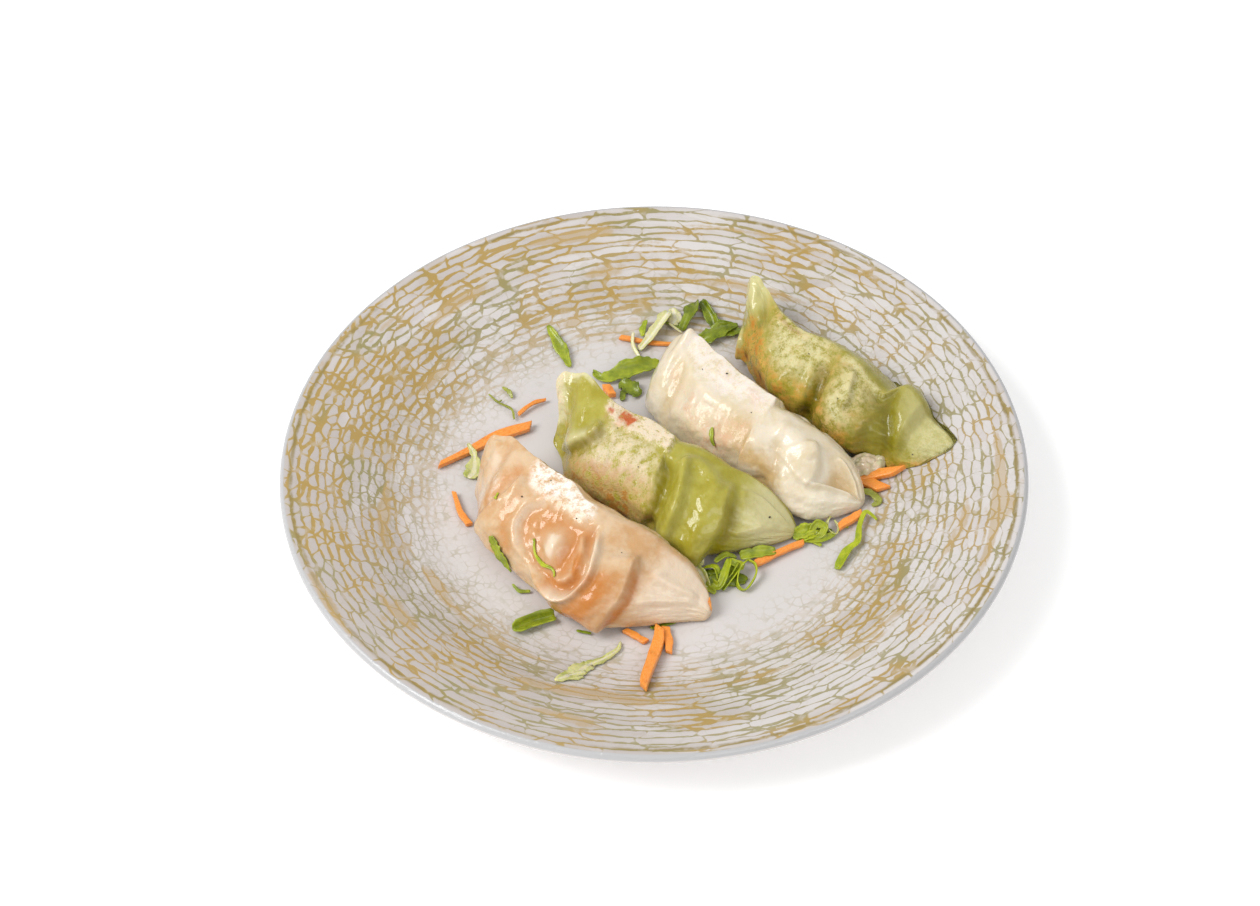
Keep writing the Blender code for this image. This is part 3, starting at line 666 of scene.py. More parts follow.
def fold_relief(form, fold, x, y):
    """How far a fold lifts the skin, in millimetres."""
    if fold.kind == "pit":
        rim = on_skin(form, [*fold.line, fold.line[0]], PIT_STEPS)[:-1]
        near, side, _ = line_distance(rim, x, y, closed=True)
        return fold.height * ease(-fold.width, fold.width, near * side)
    near, side, way = line_distance(on_skin(form, fold.line, FOLD_STEPS), x, y)
    fade = ease(0, FOLD_FADE, way) * ease(0, FOLD_FADE, 1 - way)
    if fold.kind == "ridge":
        return fold.height * np.exp(-((near / fold.width) ** 2)) * fade
    behind = near * side
    rise = 1 / (1 + np.exp(np.clip(-behind / LAP_EDGE, -40, 40)))
    return fold.height * rise * np.exp(-np.maximum(behind, 0) / fold.width) * fade


def gyoza_skin(form, along, around):
    """World places in metres, and the folds' relief in millimetres, at these marks."""
    at = [s[0] for s in form.stations]
    crest, front, back, lean, shift, edge = (
        flow(at, [s[k] for s in form.stations], along) for k in range(1, 7)
    )
    for number, (size, height) in enumerate(CREST_WAVES, 5):
        waves = ripple(along * form.length, np.zeros(along.shape), size, form.lump_seed + number)
        crest = crest + height * waves * edge * ease(0, CREST_START, along)
    across, up = np.cos(around), np.sin(around)
    width = np.where(across > 0, back, front)
    closing = np.maximum(1 - np.abs(2 * along - 1) ** TIP_BLUNTNESS, 0) ** (1 / TIP_BLUNTNESS)
    waist = WAIST * crest
    upper_front = -np.abs(across) ** (1 + FRONT_HOLLOW * edge)
    upper_back = (1 - edge) * np.abs(across) + edge * np.clip(1 - up, 0, 1) ** BACK_BOW
    upper = np.where(across > 0, upper_back, upper_front)
    lower = np.sign(across) * np.abs(across) ** BELLY_FULLNESS
    y = width * np.where(up >= 0, upper, lower) * closing
    rise = np.where(up >= 0, (crest - waist) * np.abs(up), -waist * np.abs(up) ** SOLE_FLATNESS)
    z = HEART * crest + (waist + rise - HEART * crest) * closing

    skin_x = along * form.length
    skin_y = around * GIRTH
    folds = np.zeros(along.shape)
    for fold in form.folds:
        folds += fold_relief(form, fold, skin_x, skin_y)
    for puff in form.puffs:
        off_x = (along - puff.along) * form.length / puff.reach[0]
        off_y = (around - radians(puff.around)) * GIRTH / puff.reach[1]
        folds += puff.height * np.exp(-(off_x**2 + off_y**2))
    lumps = np.zeros(along.shape)
    from_sole = (around + pi / 2) % (2 * pi) * GIRTH
    for number, (size, height) in enumerate(LUMPS):
        lumps += height * ripple(skin_x, from_sole, size, form.lump_seed + number)
    # no relief on the sole, and no lumps on the crest's line, which has its own waves
    off_sole = ease(-1.0, -0.75, up)
    seam = ease(0.0, 0.35, 1 - up) * off_sole
    lifted = folds * closing * off_sole + lumps * closing * seam
    out_y = across / np.maximum(width, SLIMMEST)
    out_z = up / np.maximum(np.where(up >= 0, crest - waist, waist), SLIMMEST)
    out = np.hypot(out_y, out_z)
    y = y + lifted * out_y / out
    z = z + lifted * out_z / out

    y = y + lean * z / crest + shift
    level = np.clip(z / crest, 0, 1)
    wing = 1 - ease(0, WING_REACH, along)
    x = form.length * (along - 0.5) + wing * (form.pinch * np.sin(pi * level) - form.sweep * level)
    world_x, world_y = (way * MM for way in set_down(form.place, form.turn, x, y))
    resting = plate_height(np.hypot(world_x, world_y)) + REST_GAP * MM
    return world_x, world_y, np.maximum(z * MM + PLATE_FLOOR, resting), folds


print("the largest lumps are", LUMPS[0][0], "mm wide and", LUMPS[0][1], "mm high")

# %% [markdown]
# Each gyoza has its own table. The rows follow it from the left wing to the right one, and the
# folds are named by what they are on the real dumpling.

# %% Front dumpling, orange dough
ORANGE = Gyoza(
    place=(-16, -22), turn=-36.9, length=80, sweep=2, pinch=1.0, lump_seed=10,
    stations=[
        Station(0.00, 17.0, 3.0, 2.0, 8.0, -5.0, 1.0),
        Station(0.03, 19.6, 5.5, 2.5, 9.0, -4.5, 1.0),
        Station(0.06, 19.0, 8.0, 3.0, 9.0, -4.0, 1.0),
        Station(0.10, 20.8, 12.5, 4.0, 8.0, -3.0, 1.0),
        Station(0.15, 22.0, 17.0, 6.0, 6.0, -3.0, 1.0),
        Station(0.25, 22.0, 20.0, 8.0, 4.0, -2.5, 1.0),
        Station(0.40, 22.0, 22.0, 9.0, 3.0, -2.5, 1.0),
        Station(0.50, 21.5, 23.0, 10.0, 0.0, -2.5, 0.8),
        Station(0.60, 20.5, 25.0, 8.5, 0.0, -2.5, 0.3),
        Station(0.70, 18.5, 24.0, 8.0, 1.5, -2.0, 0.2),
        Station(0.80, 15.0, 19.0, 7.5, 2.0, -1.5, 0.3),
        Station(0.88, 11.5, 13.0, 6.0, 2.5, -1.0, 0.3),
        Station(0.95, 7.5, 7.0, 3.0, 2.5, -1.0, 0.3),
        Station(1.00, 4.0, 2.5, 1.5, 1.0, -1.5, 0.0),
    ],
    folds=[
        # the last layer of dough, over the right wing
        Fold("lap", 8.0, 3.6, [
            (0.745, 104), (0.77, 122), (0.79, 147), (0.78, 165), (0.765, 180), (0.75, 196),
        ]),
        # the left wing's layer
        Fold("lap", 6.0, 1.6, [(0.12, 196), (0.15, 169), (0.18, 149), (0.215, 132), (0.225, 112)]),
        # the ear: a sunk pocket whose rim is highest on the right and below
        Fold("pit", 1.6, -2.0, [
            (0.58, 104), (0.63, 120), (0.66, 137), (0.645, 152), (0.60, 164), (0.51, 166),
            (0.41, 163), (0.335, 152), (0.315, 137), (0.345, 124), (0.43, 117), (0.52, 113),
        ]),
        Fold("ridge", 1.0, 2.6, [
            (0.575, 100), (0.63, 118), (0.665, 137), (0.65, 153), (0.605, 165), (0.52, 169),
            (0.42, 167),
        ]),
        Fold("ridge", 1.8, 0.7, [
            (0.43, 114), (0.345, 121), (0.31, 134), (0.315, 147), (0.35, 159), (0.42, 167),
        ]),
        Fold("ridge", 1.2, 1.3, [(0.53, 111), (0.585, 124), (0.60, 138), (0.58, 151), (0.53, 157)]),
        Fold("ridge", 1.5, 0.7, [
            (0.46, 120), (0.40, 121), (0.365, 130), (0.375, 142), (0.42, 147),
        ]),
        # soft pleats of the two wings
        Fold("ridge", 1.4, 0.9, [(0.05, 104), (0.07, 130), (0.06, 165)]),
        Fold("ridge", 1.5, -0.7, [(0.10, 100), (0.12, 122), (0.10, 150)]),
        Fold("ridge", 2.2, 0.9, [(0.80, 116), (0.88, 122), (0.96, 120)]),
        Fold("ridge", 1.8, 0.8, [(0.81, 152), (0.89, 144), (0.97, 132)]),
        # the dry flap's lower edge
        Fold("lap", 4.0, -0.5, [
            (0.25, 100), (0.27, 115), (0.35, 118), (0.43, 112), (0.52, 106), (0.54, 96),
        ]),
    ],
    puffs=[
        Puff(0.610, 149, (2.6, 3.4), -1.8),
        Puff(0.545, 138, (2.2, 5.0), -1.2),
        Puff(0.480, 136, (3.6, 4.2), 2.0),
        Puff(0.430, 155, (3.4, 2.6), 0.8),
        Puff(0.700, 150, (6.0, 8.0), 0.9),
    ],
)
print("orange:", len(ORANGE.stations), "stations and", len(ORANGE.folds), "folds")

# %% Second dumpling, light green dough
GREEN = Gyoza(
    place=(6, 2), turn=-27, length=78, sweep=4, pinch=3.2, lump_seed=20,
    stations=[
        Station(0.000, 21.5, 1.6, 1.2, 9.0, -3.0, 1.0),
        Station(0.035, 22.8, 3.2, 1.6, 11.0, -3.0, 1.0),
        Station(0.065, 21.8, 5.4, 2.2, 11.5, -3.0, 1.0),
        Station(0.100, 24.0, 9.4, 3.2, 11.0, -3.0, 1.0),
        Station(0.160, 23.2, 16.0, 6.0, 8.0, -2.5, 1.0),
        Station(0.250, 22.5, 18.0, 8.0, 4.0, -2.0, 1.0),
        Station(0.400, 22.0, 19.0, 9.0, 3.0, -2.0, 1.0),
        Station(0.505, 22.2, 20.0, 9.0, 0.5, -2.0, 1.0),
        Station(0.525, 20.8, 20.2, 9.0, -1.0, -2.0, 0.5),
        Station(0.620, 20.5, 23.0, 6.8, 0.0, -2.0, 0.3),
        Station(0.720, 18.5, 23.5, 5.4, -0.5, -2.0, 0.2),
        Station(0.800, 15.5, 19.0, 4.4, 1.5, -2.0, 0.3),
        Station(0.880, 12.0, 13.5, 3.8, 2.0, -2.0, 0.3),
        Station(0.950, 8.0, 8.0, 3.5, 1.0, -2.0, 0.3),
        Station(1.000, 4.0, 2.5, 1.5, 0.0, -2.0, 0.0),
    ],
    folds=[
        # the left wing's rolled edge, and the groove behind it
        Fold("ridge", 1.6, 2.3, [(0.05, 192), (0.09, 172), (0.15, 150), (0.22, 133), (0.245, 117)]),
        Fold("ridge", 1.7, -2.3, [
            (0.06, 214), (0.12, 184), (0.19, 154), (0.24, 136), (0.285, 118),
        ]),
        # the valley between the two bellies, and the second belly's shoulder
        Fold("ridge", 1.9, -2.6, [
            (0.50, 110), (0.55, 120), (0.565, 144), (0.555, 167), (0.52, 205),
        ]),
        Fold("ridge", 2.0, 2.6, [
            (0.565, 100), (0.61, 117), (0.635, 137), (0.63, 160), (0.60, 205),
        ]),
        # the last layer, over the right wing, and the wing's seam
        Fold("lap", 8.0, 3.6, [
            (0.77, 101), (0.79, 122), (0.805, 146), (0.79, 168), (0.77, 186), (0.73, 234),
        ]),
        Fold("lap", 6.0, 1.1, [(0.79, 109), (0.84, 106), (0.91, 107), (0.99, 112)]),
        Fold("ridge", 2.2, 0.9, [(0.83, 160), (0.89, 150), (0.96, 135)]),
        Fold("ridge", 2.2, 1.5, [(0.57, 108), (0.64, 103), (0.71, 106), (0.76, 116)]),
        # the dry flap's lower edge
        Fold("lap", 4.0, -0.45, [(0.24, 104), (0.27, 112), (0.36, 115), (0.44, 114), (0.51, 108)]),
    ],
    puffs=[
        Puff(0.360, 150, (12.0, 10.0), 1.5),
        Puff(0.340, 147, (2.0, 2.2), -0.7),
        Puff(0.690, 142, (3.5, 10.0), -0.9),
        Puff(0.900, 140, (6.0, 6.0), 0.6),
    ],
)
print("green:", len(GREEN.stations), "stations and", len(GREEN.folds), "folds")

# %% Third dumpling, white dough
WHITE = Gyoza(
    place=(31, 18), turn=-39, length=76, sweep=-2, pinch=0.0, lump_seed=30,
    stations=[
        Station(0.00, 19.5, 7.0, 2.0, 7.0, -1.0, 1.0),
        Station(0.05, 21.0, 12.5, 4.0, 7.0, -1.0, 1.0),
        Station(0.09, 22.8, 14.0, 5.0, 7.3, -1.0, 1.0),
        Station(0.13, 22.0, 15.0, 6.0, 7.5, -1.0, 1.0),
        Station(0.22, 22.0, 17.0, 8.0, 6.0, -1.0, 1.0),
        Station(0.35, 22.0, 18.0, 9.0, 3.5, -1.0, 1.0),
        Station(0.50, 21.8, 17.2, 9.0, 1.8, -1.0, 1.0),
        Station(0.56, 22.2, 17.2, 9.0, 1.5, -1.0, 1.0),
        Station(0.58, 20.8, 17.2, 9.0, -1.0, -1.5, 0.6),
        Station(0.70, 19.0, 17.0, 9.0, -1.0, -1.0, 0.3),
        Station(0.80, 16.5, 18.6, 8.0, 0.0, -1.0, 0.3),
        Station(0.88, 13.0, 17.0, 6.5, 1.0, -1.0, 0.3),
        Station(0.95, 9.0, 11.0, 4.0, 1.5, -1.5, 0.3),
        Station(1.00, 5.0, 3.0, 2.0, 0.0, -2.0, 0.0),
    ],
    folds=[
        # the left wing's crease
        Fold("ridge", 2.2, -1.0, [(0.15, 106), (0.16, 130), (0.185, 155), (0.17, 195)]),
        # the shallow valley before the right wing
        Fold("ridge", 2.3, -1.5, [(0.66, 116), (0.695, 136), (0.71, 156), (0.64, 188)]),
        Fold("ridge", 3.6, 1.3, [(0.62, 104), (0.70, 104), (0.77, 107), (0.83, 112)]),
        # the folded corner of the right wing
        Fold("lap", 7.0, 2.2, [(0.77, 94), (0.82, 104), (0.85, 119), (0.855, 132), (0.845, 142)]),
        Fold("ridge", 1.1, 2.0, [(0.84, 140), (0.89, 129), (0.95, 124), (0.99, 128)]),
        Fold("ridge", 1.0, 1.3, [(0.86, 92), (0.92, 95), (0.97, 104), (0.995, 118)]),
        # the dry flap's lower edge
        Fold("lap", 4.0, -0.6, [
            (0.20, 112), (0.30, 115), (0.40, 112), (0.46, 107), (0.52, 110), (0.56, 118),
            (0.575, 104),
        ]),
        # long soft pleats from the left wing
        Fold("ridge", 2.0, 0.7, [(0.10, 118), (0.22, 128), (0.36, 131), (0.50, 126)]),
        Fold("ridge", 2.4, 0.6, [(0.16, 168), (0.30, 160), (0.44, 162), (0.56, 150)]),
    ],
    puffs=[
        Puff(0.080, 98, (3.0, 4.0), 1.5),
        Puff(0.580, 131, (5.0, 6.0), 1.1),
        Puff(0.490, 152, (6.0, 6.0), 1.0),
        Puff(0.350, 142, (7.0, 7.0), 0.7),
        Puff(0.915, 114, (5.0, 6.0), -3.0),
    ],
)
print("white:", len(WHITE.stations), "stations and", len(WHITE.folds), "folds")

# %% Rear dumpling, dark green dough
REAR = Gyoza(
    place=(58, 36), turn=-39, length=80, sweep=3, pinch=1.5, lump_seed=40,
    stations=[
        Station(0.00, 22.8, 2.0, 1.2, 6.0, 0.0, 1.0),
        Station(0.03, 24.6, 4.2, 2.0, 5.5, 0.0, 1.0),
        Station(0.06, 25.2, 7.0, 3.0, 4.6, 0.0, 1.0),
        Station(0.09, 23.2, 9.0, 4.0, 3.5, 0.0, 1.0),
        Station(0.14, 23.6, 11.0, 6.0, 1.0, -0.5, 1.0),
        Station(0.22, 23.0, 14.0, 8.0, -2.0, -1.0, 1.0),
        Station(0.32, 23.0, 17.0, 9.0, -3.0, -1.5, 1.0),
        Station(0.42, 23.0, 18.0, 10.0, -2.0, -1.5, 0.8),
        Station(0.55, 22.5, 19.0, 10.0, -3.0, -1.5, 0.5),
        Station(0.64, 20.0, 19.0, 10.0, -5.0, -1.5, 0.3),
        Station(0.70, 18.0, 18.0, 9.0, -5.0, -1.5, 0.3),
        Station(0.74, 18.2, 17.0, 8.5, 0.0, -1.5, 0.2),
        Station(0.79, 18.8, 15.5, 8.0, 0.5, -3.0, 0.1),
        Station(0.83, 18.0, 15.0, 7.0, 0.5, -4.0, 0.1),
        Station(0.87, 14.0, 13.2, 5.0, 1.0, -4.5, 0.2),
        Station(0.93, 13.2, 10.0, 4.0, 1.0, -5.0, 0.3),
        Station(1.00, 12.6, 3.0, 2.0, 0.0, -5.0, 0.0),
    ],
    folds=[
        # the deep valley down the middle, and the short crease right of it
        Fold("ridge", 2.2, -3.0, [(0.47, 110), (0.495, 135), (0.50, 155), (0.455, 205)]),
        Fold("lap", 5.0, 1.8, [(0.585, 97), (0.61, 111), (0.635, 123), (0.625, 137)]),
        # the valley before the tail
        Fold("ridge", 2.8, -2.3, [(0.69, 91), (0.715, 104), (0.77, 133), (0.81, 162), (0.80, 202)]),
        # the hollow below the upright wing
        Fold("ridge", 2.4, -1.3, [(0.05, 108), (0.11, 118), (0.14, 135), (0.13, 168)]),
        Fold("ridge", 1.3, 1.1, [(0.03, 100), (0.04, 125), (0.035, 160)]),
        # pleats across the crusted belly
        Fold("ridge", 2.0, 0.8, [(0.34, 104), (0.38, 125), (0.36, 150), (0.31, 180)]),
        Fold("ridge", 1.8, -0.8, [(0.22, 104), (0.27, 130), (0.25, 158)]),
        # the light rim of the ear beside the wing
        Fold("ridge", 1.0, 1.6, [(0.03, 172), (0.055, 182), (0.07, 196), (0.06, 212)]),
    ],
    puffs=[
        Puff(0.330, 150, (10.0, 10.0), 1.3),
        Puff(0.620, 150, (10.0, 10.0), 1.7),
        Puff(0.050, 190, (4.0, 6.0), 3.0),
        Puff(0.780, 116, (3.5, 4.0), 0.8),
        Puff(0.240, 176, (2.2, 2.2), -0.8),
    ],
)
print("rear:", len(REAR.stations), "stations and", len(REAR.folds), "folds")

# %% [markdown]
# Frying leaves its own map on the skin: dry floury flaps, golden crust where the dough met the
# pan, dark spots, and wet folds where the filling's colour shows through. Some marks are painted
# light and shade: dark strokes in creases, under laps and low on the belly are painted shade, and
# pale strokes on fold rims are painted highlights. Each is a mask that the mesh carries at its
# points. A mark is a stroke or a closed patch on the unrolled skin, so it follows the folds
# wherever they go.

# %% Marks of the pan, painted shade and painted highlights
# width is a stroke's half width; 0 makes the line a closed patch whose edge is soft wide.
Mark = namedtuple("Mark", "finish strength width soft ragged line")
FINISHES = ("flour", "toast", "char", "deep", "pale")
COARSE_TEAR = 3.2  # millimetres, the size of the larger waves in a ragged edge
FINE_TEAR = 1.3
STROKE_STEPS = 20
STROKE_ENDS = (-0.02, 0.12)  # shares of a stroke between which its end fades in

MARKS = {
    "orange": [
        Mark("flour", 1.05, 0, 1.8, 0.3, [
            (0.25, 84), (0.24, 103), (0.27, 116), (0.35, 118), (0.42, 112), (0.50, 108),
            (0.545, 103), (0.53, 84),
        ]),
        Mark("flour", 0.45, 1.4, 0, 0.3, [(0.12, 128), (0.16, 140), (0.18, 152)]),
        # The right wing's pale patch is thin dough, made paler as painted light.
        Mark("pale", 0.8, 0, 4.0, 0.6, [
            (0.81, 88), (0.81, 135), (0.83, 175), (0.97, 195), (1.02, 120), (0.98, 70),
        ]),
        Mark("pale", 0.9, 2.0, 0, 0.3, [(0.46, 130), (0.48, 138), (0.47, 146)]),
        # The narrow pale strokes on the pocket's rims are painted highlights.
        Mark("pale", 0.6, 1.1, 0, 0.2, [
            (0.60, 106), (0.65, 128), (0.655, 145), (0.61, 163), (0.52, 169),
        ]),
        Mark("pale", 0.5, 1.1, 0, 0.2, [(0.37, 119), (0.32, 132), (0.32, 148), (0.37, 161)]),
        Mark("pale", 0.5, 2.5, 0, 0.6, [(0.08, 120), (0.10, 150), (0.08, 180)]),
        # The deep marks are the filling's tone in the wet pocket and belly, and painted shade in the
        # creases, under the lap's edge and low on the belly.
        Mark("deep", 0.9, 2.4, 0, 0.3, [
            (0.56, 122), (0.61, 138), (0.61, 150), (0.56, 160), (0.49, 161),
        ]),
        Mark("deep", 0.45, 2.0, 0, 0.3, [(0.53, 118), (0.54, 134), (0.53, 148)]),
        Mark("deep", 0.40, 2.2, 0, 0.3, [(0.39, 126), (0.36, 138), (0.39, 152)]),
        Mark("deep", 1.0, 0.9, 0, 0.1, [(0.772, 118), (0.798, 147), (0.785, 168), (0.765, 185)]),
        Mark("deep", 0.9, 5.0, 0, 0.8, [(0.67, 130), (0.70, 155), (0.66, 180), (0.58, 205)]),
        Mark("deep", 0.40, 1.8, 0, 0.3, [(0.27, 122), (0.26, 140), (0.285, 158), (0.34, 172)]),
        Mark("deep", 0.35, 6.0, 0, 1.0, [(0.30, 205), (0.45, 208), (0.60, 208)]),
        Mark("deep", 0.5, 2.2, 0, 0.4, [(0.21, 106), (0.195, 125), (0.17, 140), (0.14, 160)]),
    ],
    "green": [
        Mark("flour", 1.25, 0, 1.0, 0.3, [
            (0.225, 84), (0.225, 106), (0.27, 113), (0.36, 115), (0.44, 114), (0.52, 107),
            (0.515, 84),
        ]),
        Mark("flour", 0.85, 0, 5.0, 0.6, [
            (0.28, 114), (0.25, 132), (0.22, 155), (0.30, 154), (0.40, 148), (0.49, 142),
            (0.50, 122), (0.44, 112),
        ]),
        Mark("toast", 1.6, 0, 3.5, 0.5, [
            (0.12, 205), (0.16, 165), (0.24, 150), (0.35, 144), (0.46, 136), (0.52, 142),
            (0.53, 190), (0.42, 215), (0.20, 215),
        ]),
        Mark("toast", 0.50, 0, 2.0, 0.4, [
            (0.23, 84), (0.23, 104), (0.30, 110), (0.40, 109), (0.51, 103), (0.51, 84),
        ]),
        Mark("toast", 1.8, 3.4, 0, 0.8, [(0.25, 98), (0.31, 103), (0.38, 107)]),
        Mark("char", 1.5, 2.2, 0, 0.8, [(0.285, 101), (0.31, 102), (0.345, 106)]),
        Mark("char", 0.9, 1.0, 0, 0.3, [(0.238, 103), (0.25, 104), (0.26, 104)]),
        # The deep marks are painted shade: in the groove, in the valley, under the lap's edge and low
        # on the belly.
        Mark("deep", 1.0, 1.6, 0, 0.2, [
            (0.06, 214), (0.12, 184), (0.19, 154), (0.24, 136), (0.28, 122),
        ]),
        Mark("deep", 0.8, 1.8, 0, 0.2, [(0.52, 118), (0.56, 144), (0.55, 167), (0.53, 190)]),
        Mark("toast", 0.8, 3.0, 0, 0.8, [(0.48, 196), (0.56, 205), (0.66, 205), (0.74, 200)]),
        Mark("deep", 1.0, 1.6, 0, 0.2, [
            (0.795, 118), (0.82, 146), (0.81, 168), (0.79, 188), (0.76, 215),
        ]),
        Mark("deep", 0.5, 7.0, 0, 1.0, [(0.18, 228), (0.40, 222), (0.60, 218), (0.75, 216)]),
        # The right wing's pale patch is thin dough, made paler as painted light.
        Mark("pale", 0.8, 0, 4.0, 0.6, [
            (0.83, 88), (0.85, 140), (0.89, 190), (1.02, 190), (1.02, 130), (1.0, 70),
        ]),
        Mark("pale", 1.0, 0, 2.0, 0.7, [
            (-0.03, 60), (-0.03, 190), (0.045, 165), (0.045, 120), (0.09, 104), (0.14, 96),
            (0.12, 80),
        ]),
        Mark("flour", 0.85, 0, 1.6, 0.7, [
            (-0.03, 70), (-0.03, 160), (0.02, 150), (0.025, 115), (0.06, 97), (0.07, 80),
        ]),
        # Painted highlights on the rolled edge and on the seam.
        Mark("pale", 0.7, 1.2, 0, 0.2, [(0.10, 170), (0.15, 150), (0.21, 134)]),
        Mark("pale", 0.4, 1.2, 0, 0.2, [(0.79, 103), (0.86, 105), (0.94, 103)]),
    ],
    "white": [
        Mark("flour", 0.9, 0, 3.0, 0.6, [
            (0.10, 84), (0.11, 112), (0.22, 124), (0.40, 122), (0.50, 112), (0.56, 119), (0.57, 84),
        ]),
        Mark("toast", 0.85, 0, 6.0, 1.0, [
            (0.24, 150), (0.40, 140), (0.52, 132), (0.57, 150), (0.52, 185), (0.35, 190),
        ]),
        Mark("toast", 1.1, 1.8, 0, 0.5, [(0.44, 104), (0.50, 107), (0.55, 112)]),
        Mark("toast", 0.9, 3.0, 0, 0.8, [(0.28, 106), (0.38, 105)]),
        Mark("toast", 0.55, 3.0, 0, 0.8, [(0.12, 135), (0.20, 145), (0.30, 142)]),
        # The deep marks are painted shade: in the valley, in the hollows and creases, and low on the
        # belly.
        Mark("deep", 0.9, 4.5, 0, 0.8, [
            (0.46, 165), (0.52, 141), (0.58, 150), (0.66, 150), (0.70, 165), (0.64, 190),
        ]),
        Mark("deep", 0.5, 2.0, 0, 0.4, [(0.885, 101), (0.92, 107), (0.93, 116)]),
        Mark("deep", 0.7, 5.0, 0, 1.0, [(0.30, 205), (0.60, 200), (0.75, 195), (0.90, 195)]),
        Mark("deep", 0.35, 3.0, 0, 0.6, [(0.17, 150), (0.20, 175), (0.22, 200)]),
        # A painted highlight on the folded corner's edge.
        Mark("pale", 0.9, 1.4, 0, 0.2, [(0.80, 98), (0.85, 108), (0.865, 124), (0.855, 138)]),
        # The right wing's pale patch is thin dough, made paler as painted light.
        Mark("pale", 0.9, 0, 3.0, 0.4, [
            (0.86, 140), (0.93, 124), (1.0, 120), (1.02, 180), (0.93, 185), (0.86, 165),
        ]),
    ],
    "rear": [
        Mark("flour", 0.80, 0, 5.0, 0.8, [
            (0.20, 86), (0.22, 125), (0.28, 142), (0.42, 140), (0.47, 120), (0.47, 86),
        ]),
        Mark("flour", 0.75, 0, 5.0, 0.8, [
            (0.54, 86), (0.55, 140), (0.60, 158), (0.66, 145), (0.67, 110), (0.62, 86),
        ]),
        Mark("flour", 0.55, 0, 4.0, 0.8, [
            (0.88, 84), (0.88, 130), (0.90, 160), (0.98, 165), (1.02, 120), (0.99, 80),
        ]),
        Mark("flour", 0.8, 2.4, 0, 0.6, [(0.50, 96), (0.56, 96), (0.64, 92), (0.72, 98)]),
        Mark("flour", 0.7, 3.0, 0, 0.8, [(0.24, 118), (0.30, 120), (0.37, 128)]),
        Mark("toast", 1.9, 0, 4.5, 0.6, [
            (0.10, 148), (0.19, 138), (0.28, 150), (0.30, 185), (0.26, 215), (0.08, 215),
        ]),
        Mark("toast", 0.75, 0, 5.0, 0.8, [(0.28, 140), (0.45, 145), (0.46, 205), (0.28, 210)]),
        Mark("toast", 0.80, 0, 5.0, 0.8, [(0.53, 145), (0.66, 150), (0.72, 185), (0.54, 200)]),
        Mark("toast", 0.35, 0, 6.0, 0.8, [
            (0.15, 90), (0.16, 135), (0.45, 140), (0.70, 140), (0.68, 90),
        ]),
        Mark("toast", 1.3, 2.0, 0, 0.4, [(0.17, 101), (0.24, 102), (0.30, 101), (0.37, 101)]),
        Mark("toast", 1.4, 3.4, 0, 0.6, [(0.82, 196), (0.90, 180), (0.98, 158)]),
        Mark("char", 0.9, 1.3, 0, 0.4, [(0.105, 186), (0.13, 182)]),
        Mark("char", 1.5, 1.8, 0, 0.3, [(0.235, 172), (0.26, 172)]),
        Mark("char", 0.35, 1.2, 0, 0.3, [(0.20, 101), (0.26, 101), (0.33, 99)]),
        # The deep marks are painted shade in the valleys, under the crease's edge, beside the ear and
        # low on the belly; the broad patch is a darker tone of the dough and painted shade.
        Mark("deep", 1.2, 2.4, 0, 0.3, [(0.47, 116), (0.495, 140), (0.46, 205)]),
        Mark("deep", 0.55, 0, 5.0, 1.0, [
            (0.50, 150), (0.54, 112), (0.60, 108), (0.72, 108), (0.84, 150), (0.82, 205),
            (0.50, 205),
        ]),
        Mark("deep", 0.9, 1.6, 0, 0.3, [(0.62, 97), (0.655, 108), (0.66, 122)]),
        Mark("deep", 0.9, 2.2, 0, 0.3, [(0.70, 100), (0.76, 133), (0.80, 165), (0.79, 200)]),
        Mark("deep", 0.7, 5.0, 0, 0.8, [(0.55, 205), (0.66, 195), (0.76, 190)]),
        Mark("deep", 0.8, 1.5, 0, 0.2, [(0.02, 186), (0.04, 198), (0.03, 210)]),
        Mark("pale", 1.0, 0, 4.0, 0.6, [
            (-0.02, 60), (-0.02, 140), (0.05, 165), (0.10, 125), (0.14, 88),
        ]),
        Mark("flour", 0.6, 0, 2.0, 0.6, [
            (-0.03, 70), (-0.03, 140), (0.015, 130), (0.03, 100), (0.06, 80),
        ]),
        # The tail's pale patch is thin dough, made paler as painted light.
        Mark("pale", 0.6, 0, 4.0, 0.6, [
            (0.76, 88), (0.79, 112), (0.85, 128), (0.98, 165), (1.02, 120), (0.98, 80),
        ]),
        # A painted highlight on the ear's rim.
        Mark("pale", 0.7, 1.2, 0, 0.2, [(0.04, 172), (0.065, 182), (0.075, 196)]),
    ],
}


def mark_mask(form, mark, x, y, seed):
    """0 to 1: how much of the mark's finish lies on the skin here."""
    tears = ripple(x, y, COARSE_TEAR, seed) + 0.6 * ripple(x, y, FINE_TEAR, seed + 1)
    wobble = mark.ragged * tears
    if mark.width:
        near, _, way = line_distance(on_skin(form, mark.line, STROKE_STEPS), x, y)
        ends = ease(*STROKE_ENDS, way) * ease(*STROKE_ENDS, 1 - way)
        return mark.strength * np.exp(-((np.maximum(near + wobble, 0) / mark.width) ** 2)) * ends
    near, side, _ = line_distance(on_skin(form, mark.line), x, y, closed=True)
    return mark.strength * ease(-mark.soft, mark.soft, near * side + wobble)


print({name: len(marks) for name, marks in MARKS.items()}, "marks")

# %% [markdown]
# All four doughs share one set of effects, so it is a node group: patchy colour, fine pan
# speckle that eats into the crust's edge, and the skin's grain. Each dough brings its own
# colours and lets light in a little, because cooked dough is translucent.

# %% Shared dough effects
effects, given, out = new_group(
    "dough_effects",
    {"Toast": 0.0, "Flour": 0.0, "Char": 0.0},
    ["Patches", "Crust", "Brown", "Dry", "Burn", "Grain"],
)


